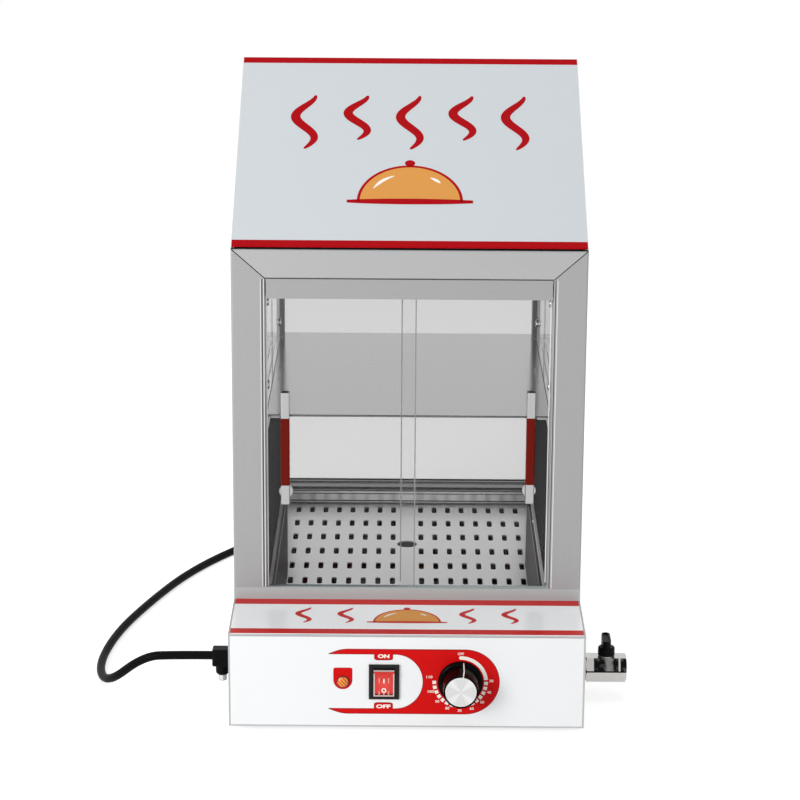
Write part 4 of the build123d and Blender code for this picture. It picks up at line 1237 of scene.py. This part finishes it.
@dataclass
class Rocker:
    """Lit rocker: a painted highlight outlining its two faces, painted glints and painted shade, a bar above
    and a ring below.
    """

    middle: Triple = (-0.0191, -0.1999, 0.0462)
    valley: float = 0.0036
    half: float = 0.0116
    lean: float = radians(9.0)
    edge: float = 0.0082
    line: float = 0.0010
    round_off: float = 0.0009
    line_wall: Pair = (0.0002, 0.0030)
    wall: Pair = (0.0030, 0.0062)
    half_wide: float = 0.0086
    rails: Pair = (0.0108, -0.0116)
    foot_line: float = -0.0111
    shade_band: Pair = (-0.0092, -0.0107)
    shade_width: float = 0.0156
    bar: Pair = (0.0003, 0.0051)
    bar_width: float = 0.0012
    glints_x: Pair = (-0.0040, 0.0039)
    glint: Pair = (0.0006, 0.0060)
    foot_glint: Pair = (-0.0068, -0.0104)
    foot_middle: float = -0.0085
    ring_y: float = -0.0062
    ring_radius: float = 0.0016

    def turn(self) -> np.ndarray:
        """Rotation of the rocker at rest, on (y, z). Returns (2, 2)."""
        return np.array([[cos(self.lean), -sin(self.lean)], [sin(self.lean), cos(self.lean)]])

    def face(self, side: int) -> Sheet:
        """The upper (1) or lower (-1) face as a sheet from the valley, turned with the rocker."""
        rise = self.half * np.tan(self.lean)
        slope = np.array([-side * rise, self.half]) / np.hypot(rise, self.half)
        root = self.turn() @ np.array([-self.valley, 0.0])
        way = self.turn() @ slope
        return Sheet(
            (self.middle[0], self.middle[1] + root[0], self.middle[2] + root[1]),
            (1.0, 0.0, 0.0),
            (0.0, float(way[0]), float(way[1])),
        )

    def strokes(self, name: str, face: Sheet, ink: Material, marks: tuple[Stroke, ...]) -> None:
        """Print straight marks on one face.

        Args:
            name: first part of their names.
            face: the face.
            ink: their ink.
            marks: the marks.
        """
        for count, mark in enumerate(marks):
            printed = Ink(ink, Slot.ROCKER, mark.layer, "rocker")
            printed.print_line(f"rocker_{name}_{count + 1}", face, mark.start, mark.end, mark.width, 6)

    def crest(self, ink: Material) -> None:
        """Print the painted edge highlight's top line on the top wall, and painted shade behind it.

        Both lie across the wall, from one place to another behind its front edge.

        Args:
            ink: the line's ink.
        """
        reach = self.half - self.round_off
        front = (self.round_off - reach * sin(self.lean)) / cos(self.lean) - self.valley
        top = reach + self.round_off + 2 * Ink.STEP
        # Painted shade: the top wall is inked near black.
        dark = Film("rocker_shade", srgb(14, 10, 11), 0.5, 0.05).build()
        for name, places, half, count, finish in (
            ("rocker_crest", self.line_wall, self.edge + self.line / 2, 9, ink),
            ("rocker_top_wall", self.wall, self.half_wide, 2, dark),
        ):
            spots = np.array([[front + place, top] for place in places]) @ self.turn().T
            spots = spots + np.array(self.middle[1:])
            x = self.middle[0] + np.linspace(-1, 1, count) * half
            rows = np.stack(np.broadcast_arrays(x[None, :], spots[:, :1], spots[:, 1:]), -1)
            made = put_mesh(name, rows.reshape(-1, 3), grid_faces(*rows.shape[:2]))
            made.data.materials.append(finish)
            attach(made, "rocker")

    def build(self, inks: Inks) -> None:
        """Dress the rocker and print its marks.

        Args:
            inks: the printing inks.
        """
        # Painted glow of the rocker's lamp: light in the middle, deep red at its ends.
        light, deep = srgb(232, 78, 68), srgb(210, 34, 28)
        body = LitMoulding("rocker_red", light, deep, (self.middle[0], 0.0445), 0.0135)
        dress(["rocker"], body.build())
        # Painted highlight: the pale outline stands for light glinting along the rocker's edges.
        edge_glint = Film("ink_edge_glint", srgb(216, 200, 196), 0.2, 0.4).build()
        # Painted highlights: the pale ink makes the glint strokes on both faces.
        pale = Film("ink_pale", srgb(246, 158, 142)).build()
        shade = Film("ink_shade", srgb(96, 28, 32)).build()
        upper, lower = self.face(1), self.face(-1)
        for name, face, far in zip(("upper", "lower"), (upper, lower), self.rails):
            rails = [Stroke((x, 0.0), (x, far), self.line, 3) for x in (-self.edge, self.edge)]
            self.strokes(f"{name}_outline", face, edge_glint, tuple(rails))
        foot = Stroke((-self.edge, self.foot_line), (self.edge, self.foot_line), self.line, 4)
        self.strokes("edge_glint_foot", lower, edge_glint, (foot,))
        self.crest(edge_glint)
        # Painted shade: a deep red band across the lower face near its end.
        band = Stroke((0.0, self.shade_band[0]), (0.0, self.shade_band[1]), self.shade_width, 1)
        self.strokes("shade", lower, shade, (band,))
        bar = Stroke((0.0, self.bar[0]), (0.0, self.bar[1]), self.bar_width, 2)
        self.strokes("bar", upper, inks.white, (bar,))
        sides = [Stroke((x, self.glint[0]), (x, self.glint[1]), self.line, 2) for x in self.glints_x]
        self.strokes("glint", upper, pale, tuple(sides))
        high, low = self.foot_glint
        feet = [Stroke((x, high), (x, low), self.line, 2) for x in self.glints_x]
        self.strokes("foot", lower, pale, (*feet, Stroke((0.0, self.foot_middle), (0.0, low), self.line, 2)))
        ring = ribbon(arc((0.0, self.ring_y), self.ring_radius, 0, 360), self.line)
        Ink(inks.white, Slot.ROCKER, 3, "rocker").print_grid("rocker_ring", lower, ring, False)
        log.info("rocker printed")


@dataclass
class Knob:
    """Thermostat knob: black gloss, a white pointer over its rib and a spun cap."""

    centre: Pair = (0.0452, 0.0462)
    lean: float = radians(8.0)
    crest: float = 0.0179
    front: float = 0.0144
    seat: float = 0.0131
    rib: Pair = (-0.2221, -0.2023)
    face: float = -0.2233
    line: float = 0.0010
    cap_rim: float = 0.0124

    def stripe(self, name: str, along: Sheet, length: float, white: Material) -> None:
        """Print one straight piece of the pointer from a sheet's origin up its own y.

        Args:
            name: the piece's name.
            along: its face.
            length: its length.
            white: its ink.
        """
        Ink(white, Slot.KNOB, 2, "knob").print_line(name, along, (0.0, 0.0), (0.0, length), self.line, 4)

    def build(self, white: Material) -> None:
        """Dress the knob and its cap and print the pointer.

        Args:
            white: the pointer's ink.
        """
        dress(["knob"], Moulding("black_gloss", srgb(2, 2, 3), 0.2, 0.03, shine=0.04).build())
        dress(["knob_cap"], SpunMetal("spun_cap", srgb(216, 216, 216), self.centre, self.cap_rim).build())
        out = (sin(self.lean), 0.0, cos(self.lean))
        side = (cos(self.lean), 0.0, -sin(self.lean))

        def spot(radius: float, y: float) -> Triple:
            """Place on the pointer's line, at a radius and a depth."""
            return (self.centre[0] + radius * out[0], y, self.centre[1] + radius * out[2])

        top = Sheet(spot(self.crest, self.rib[0]), side, (0.0, 1.0, 0.0))
        self.stripe("knob_pointer_top", top, self.rib[1] - self.rib[0], white)
        step = Sheet(spot(self.front, self.rib[0]), side, out)
        self.stripe("knob_pointer_step", step, self.crest - self.front, white)
        ring = Sheet(spot(self.seat, self.face), side, out)
        self.stripe("knob_pointer_ring", ring, self.front - self.seat, white)
        log.info("knob dressed")


@dataclass
class Fittings:
    """Switch case, lamp, drain tap, cord clamp with its screw, and feet."""

    lamp: Pair = (-0.0537, 0.0462)
    tap: Pair = (-0.116, 0.027)
    screw: Pair = (-0.159, -0.140)
    screw_radius: float = 0.00384
    screw_top: float = 0.0282
    screw_tip: float = 0.02316
    screw_corner: float = 0.0007
    screw_middle: float = 0.0002
    seat_radius: float = 0.0044
    bar_ends: Pair = (0.150, 0.1914)
    # Painted reflection: where along the tap's hexagon bar its front flat is dark, as (place, share).
    bar_run: tuple[Pair, ...] = (
        (0.06, 1.0),
        (0.08, 0.1),
        (0.30, 0.1),
        (0.32, 1.0),
        (0.52, 1.0),
        (0.60, 0.6),
        (0.68, 0.6),
        (0.73, 0.95),
        (0.825, 0.95),
        (0.835, 0.0),
        (0.86, 0.0),
        (0.875, 1.0),
    )

    def clamp_screw(self) -> None:
        """Bright turned skin over the clamp's screw, with a small rounded end."""
        round_off = np.linspace(0, pi / 2, 6)
        corner = self.screw_corner
        profile = np.concatenate([
            [[self.screw_middle, self.screw_tip]],
            np.stack([
                self.screw_radius - corner + corner * np.sin(round_off),
                self.screw_tip + corner - corner * np.cos(round_off),
            ], 1),
            [[self.screw_radius, self.screw_top]],
        ])
        tone = srgb(214, 214, 214)
        chrome = BrushedMetal("screw_chrome", tone, 0.12, Grain.ACROSS, 0.02, 0.04, 0.02).build()
        skin = turned("clamp_screw", self.screw, profile, chrome)
        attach(skin, "cabinet")

    def build(self) -> None:
        """Dress the fittings."""
        dress(["switch_housing"], Moulding("black_case", srgb(14, 14, 16), 0.4, 0.2, shine=0.2).build())
        amber, rib, seat = srgb(250, 144, 50), srgb(120, 40, 8), srgb(110, 22, 16)
        lens = HatchedLens("lamp_amber", amber, rib, seat, self.lamp, self.seat_radius)
        dress(["indicator_lamp"], lens.build())
        # The dark colour is a painted reflection on one flat of the tap's hexagon.
        pale, dark = srgb(204, 203, 200), srgb(20, 20, 21)
        hexagon = PlatedBar("nickel_plate", pale, dark, self.tap, self.bar_ends, self.bar_run)
        dress(["drain_valve"], hexagon.build())
        nickel = srgb(196, 195, 192)
        plated = BrushedMetal("nickel_round", nickel, 0.16, Grain.ACROSS, 0.02, 0.06, 0.02).build()
        dress(["valve_ball", "window_screws"], plated)
        black = Moulding("black_moulding", srgb(4, 4, 5), 0.38, 0.2, shine=0.07).build()
        dress(["valve_handle", "cord_gland"], black)
        dress(["feet"], Moulding("foot_rubber", srgb(24, 24, 24), 0.6, 0.4, 900.0).build())
        self.clamp_screw()
        log.info("fittings dressed")


def steel(name: str, level: float, grain: Grain, **changes: object) -> Material:
    """Stainless steel of one grey level.

    Args:
        name: the material's name.
        level: its grey, 0 to 255.
        grain: its brushing direction.
        changes: other sizes of the finish.

    Returns:
        The material.
    """
    return BrushedMetal(name, srgb(level, level, level + 1), grain=grain, **changes).build()


@dataclass
class Cabinet:
    """Sheet metal, plain films and glass of the fixed body, and the painted light and shade printed on its
    metal.
    """

    plate_body: str = "plate"
    slot_edge: float = 0.1066
    margin_shade_lines: tuple[tuple[str, float, float, float], ...] = (
        ("left", -0.1168, -0.1083, -0.0449),
        ("right", 0.1168, 0.1073, 0.0529),
    )
    # Painted highlight (bright) and painted shade (dark) lines on the front posts: side, kind, x and width.
    post_lines: tuple[tuple[str, str, float, float], ...] = (
        ("left", "bright_outer", -0.1251, 0.0008),
        ("left", "dark", -0.1238, 0.0013),
        ("left", "bright", -0.1226, 0.0009),
        ("right", "bright", 0.12465, 0.0009),
        ("right", "dark", 0.1229, 0.0009),
    )
    front_post_y: float = -0.114
    front_post_z: Pair = (0.0990, 0.3728)
    plate_top: float = 0.085
    margin_shade_depth: Pair = (-0.0745, 0.1580)
    sill_y: float = 0.161
    sill_half: float = 0.1210
    sill_shade_marks: tuple[tuple[str, float, float, float], ...] = (
        ("top", 0.0951, 0.0009, 110),
        ("foot", 0.0881, 0.0011, 48),
    )
    rear_post_y: float = 0.175
    rear_post_z: Pair = (0.2476, 0.3726)
    post_face: Pair = (0.1359, 0.0262)
    post_inner: Pair = (0.1206, 0.0036)

    def metal(self) -> None:
        """Dress the sheet metal, the guides and the tubes by brushing direction and brightness."""
        across = steel("steel_across", 176, Grain.ACROSS)
        upright = steel("steel_upright", 167, Grain.UPRIGHT, roughness=0.4, metal=0.3)
        deep = steel("steel_depth", 176, Grain.DEPTH)
        dress(["front_top_bar"], steel("steel_top_bar", 172, Grain.ACROSS))
        dress(["door_track_top"], steel("steel_header", 159, Grain.ACROSS))
        sill = BrushedMetal("steel_sill", srgb(182, 191, 191), 0.6, Grain.ACROSS, rim=0.6, metal=0.3)
        dress(["front_sill"], sill.build())
        # Painted shade: the inner stretch of each rear post is darkened to under half its tone.
        inner = (PaintedDarkBand(0, -0.1228, -0.1170, 0.45), PaintedDarkBand(0, 0.1170, 0.1228, 0.45))
        rear = steel("steel_rear_post", 167, Grain.UPRIGHT, roughness=0.4, metal=0.3, bands=inner)
        dress(["rear_post_left", "rear_post_right"], rear)
        # Painted shade: the rear sill's top faces are darkened, with a thin darker line across its top.
        sill_top_shade = (PaintedDarkBand(2, 0.0972, 1.0, 0.4), PaintedDarkBand(1, 0.17235, 0.17265, 0.3))
        dress(["rear_sill"], steel("steel_rear_sill", 208, Grain.ACROSS, bands=sill_top_shade))
        dress(["rear_top_rail", "base_front", "base_rear", "base_deck", "roof", "ceiling_plate"], across)
        for hand in ("left", "right"):
            dress([f"front_post_{hand}", f"side_panel_{hand}"], upright)
            sides = ("side_rail", "side_sill", "shelf_bracket", "base_side")
            dress([f"{name}_{hand}" for name in sides], deep)
        # Painted shade: the liners are matt and dark, the left one lighter than the right as if lit from the
        # left.
        for hand, level in (("left", 108), ("right", 62)):
            dress([f"liner_{hand}"], PaintedLightShadeSheet(f"painted_shade_lining_{hand}", grey(level)).build())
        # Painted shade: the tank's steel is set dark, as it lies in shade under the plate.
        dress(["water_tank"], steel("steel_tank", 96, Grain.DEPTH, roughness=0.4))
        # Painted highlight: the steel guide strips wear a near-white matt film so that they read as brightly
        # lit.
        dress(["plate_guides"], Film("steel_guides", grey(253), 0.75, 1.0).build())
        plate = steel("steel_plate", 244, Grain.ACROSS, roughness=0.3, streak=0.02, smudge=0.04)
        dress(["perforated_plate"], plate)
        # Painted shade: the shelf's front edge strip is darkened to about a fifth of its tone.
        shelf_edge_shade = (PaintedDarkBand(1, -1.0, -0.0877, 0.22),)
        mirror = {"roughness": 0.12, "smudge": 0.02, "bump": 0.0}
        bright = steel("steel_bright", 229, Grain.ACROSS, bands=shelf_edge_shade, **mirror)
        dress(["shelf"], bright)
        zinc = steel("zinc_sheet", 168, Grain.DEPTH, roughness=0.45, smudge=0.12)
        dress(["base_plate", "thermostat"], zinc)
        dress(["heating_element", "drain_pipe"], steel("drawn_tube", 160, Grain.DEPTH))

    def margin_shade(self) -> None:
        """Print painted shade on the plate's side margins: dark strips whose inner edge is x = a + b y."""
        dark = Ink(PaintedLightShadeSheet("plate_margin", grey(152)).build(), Slot.STEEL, 1, self.plate_body)
        plate = level_sheet(self.plate_top)
        depth = np.linspace(*self.margin_shade_depth, 24)
        for hand, edge, start, slope in self.margin_shade_lines:
            outer = np.stack([np.full(len(depth), edge), depth], 1)
            near = np.maximum(np.abs(start + slope * depth), self.slot_edge) * np.sign(edge)
            inner = np.stack([near, depth], 1)
            dark.print_grid(f"plate_margin_{hand}", plate, np.stack([outer, inner]), False)

    def painted_rear_light_and_shade(self) -> None:
        """Print the rear sill's two lines of painted shade, and painted light on the rear posts' faces with
        painted shade along their inner edges.
        """
        sill, posts = upright_sheet(self.sill_y), upright_sheet(self.rear_post_y)
        half = self.sill_half
        for name, height, width, level in self.sill_shade_marks:
            ink = Ink(PaintedLightShadeSheet(f"rear_sill_{name}", grey(level)).build(), Slot.STEEL, 1)
            ink.print_line(f"rear_sill_{name}_line", sill, (-half, height), (half, height), width, 12)
        pale = Ink(PaintedLightShadeSheet("rear_post_painted_light", grey(222)).build(), Slot.STEEL, 1)
        dark = Ink(PaintedLightShadeSheet("rear_post_painted_shade", grey(96)).build(), Slot.STEEL, 1)
        low, high = self.rear_post_z
        for side, hand in ((-1, "left"), (1, "right")):
            marks = ("face", pale, self.post_face), ("inner", dark, self.post_inner)
            for name, ink, (place, width) in marks:
                x = side * place
                ink.print_line(f"rear_post_{hand}_{name}", posts, (x, low), (x, high), width)

    def post_edge_light_and_shade(self) -> None:
        """Print painted highlights and a line of painted shade along the inner edges of the front posts."""
        bright = Film("post_edge_painted_highlight", srgb(222, 223, 224), 0.4, 0.1).build()
        dark = Film("post_edge_painted_shade", srgb(88, 88, 90), 0.4, 0.1).build()
        posts = upright_sheet(self.front_post_y)
        low, high = self.front_post_z
        for hand, name, x, width in self.post_lines:
            ink = Ink(dark if name == "dark" else bright, Slot.STEEL, 1)
            ink.print_line(f"post_{hand}_{name}_line", posts, (x, low), (x, high), width, 12)

    def build(self) -> None:
        """Dress the metal, the panes and the plain films."""
        self.metal()
        self.margin_shade()
        self.post_edge_light_and_shade()
        self.painted_rear_light_and_shade()
        dress(["rear_window"], Pane("rear_glass", (0.76, 0.76, 0.76, 1.0)).build())
        side = Pane("side_glass", (0.99, 0.99, 0.99, 1.0), 1.06).build()
        dress(["side_window_left", "side_window_right"], side)
        dress(["front_overlay"], Film("film_front", srgb(245, 247, 248), 0.3, 0.15).build())
        dress(["ledge_overlay"], Film("film_ledge", srgb(252, 254, 255), 0.08, 0.5).build())
        dress(["roof_sign"], Film("film_sign", srgb(208, 214, 218), 0.3, 0.1).build())
        log.info("cabinet dressed")


@dataclass
class Doors:
    """Sliding panes with their pulls, and painted highlight and shade lines along their upright edges."""

    faces: tuple[tuple[str, float, float, float], ...] = (
        ("left", -0.1105, 0.0064, -0.1208),
        ("right", -0.0970, -0.0064, 0.1208),
    )
    low: float = 0.0985
    high: float = 0.3653
    # Width of the painted edge lines on the panes.
    ground: float = 0.0010

    def edges(self) -> None:
        """Print a line of painted shade along the inner upright edge and a painted highlight along the outer
        one of each pane.
        """
        painted_edge_grey = Film("glass_edge_painted_shade", srgb(146, 146, 146), 0.5, 0.2).build()
        bright = Film("glass_edge_painted_highlight", srgb(236, 238, 238), 0.5, 0.2).build()
        for hand, y, inner, outer in self.faces:
            sheet = upright_sheet(y)
            for name, x, finish in (("inner", inner, painted_edge_grey), ("outer", outer, bright)):
                place = x - np.sign(x) * self.ground / 2
                ink = Ink(finish, Slot.GLASS, 1, f"door_{hand}")
                ends = (place, self.low), (place, self.high)
                ink.print_line(f"door_{hand}_{name}_edge", sheet, *ends, self.ground, 6)

    def build(self) -> None:
        """Dress the panes, the bright bar ends and the red sleeves."""
        self.edges()
        clear = Pane("door_glass", (0.98, 0.98, 0.98, 1.0)).build()
        bar = steel("bar_end", 170, Grain.UPRIGHT, roughness=0.22, streak=0.02)
        sleeve = Moulding("red_sleeve", srgb(104, 19, 9), 0.3, 0.05, shine=0.06).build()
        for hand in ("left", "right"):
            dress([f"door_glass_{hand}"], clear)
            dress([f"handle_{hand}"], bar)
            dress([f"grip_{hand}"], sleeve)
        log.info("doors dressed")


def main() -> None:
    """Build the studio and the lead, print the films and dress everything else."""
    Studio().build()
    MainsCord().build(Moulding("cord_sheath", srgb(3, 3, 3), 0.5, 0.3, 1200.0, 0.06).build())
    inks = mix_inks()
    ControlPanel(inks).build()
    RoofSign(inks).build()
    LedgeFilm(inks).build()
    Cabinet().build()
    Doors().build()
    Rocker().build(inks)
    Knob().build(inks.white)
    Fittings().build()


if __name__ == "__main__":
    main()
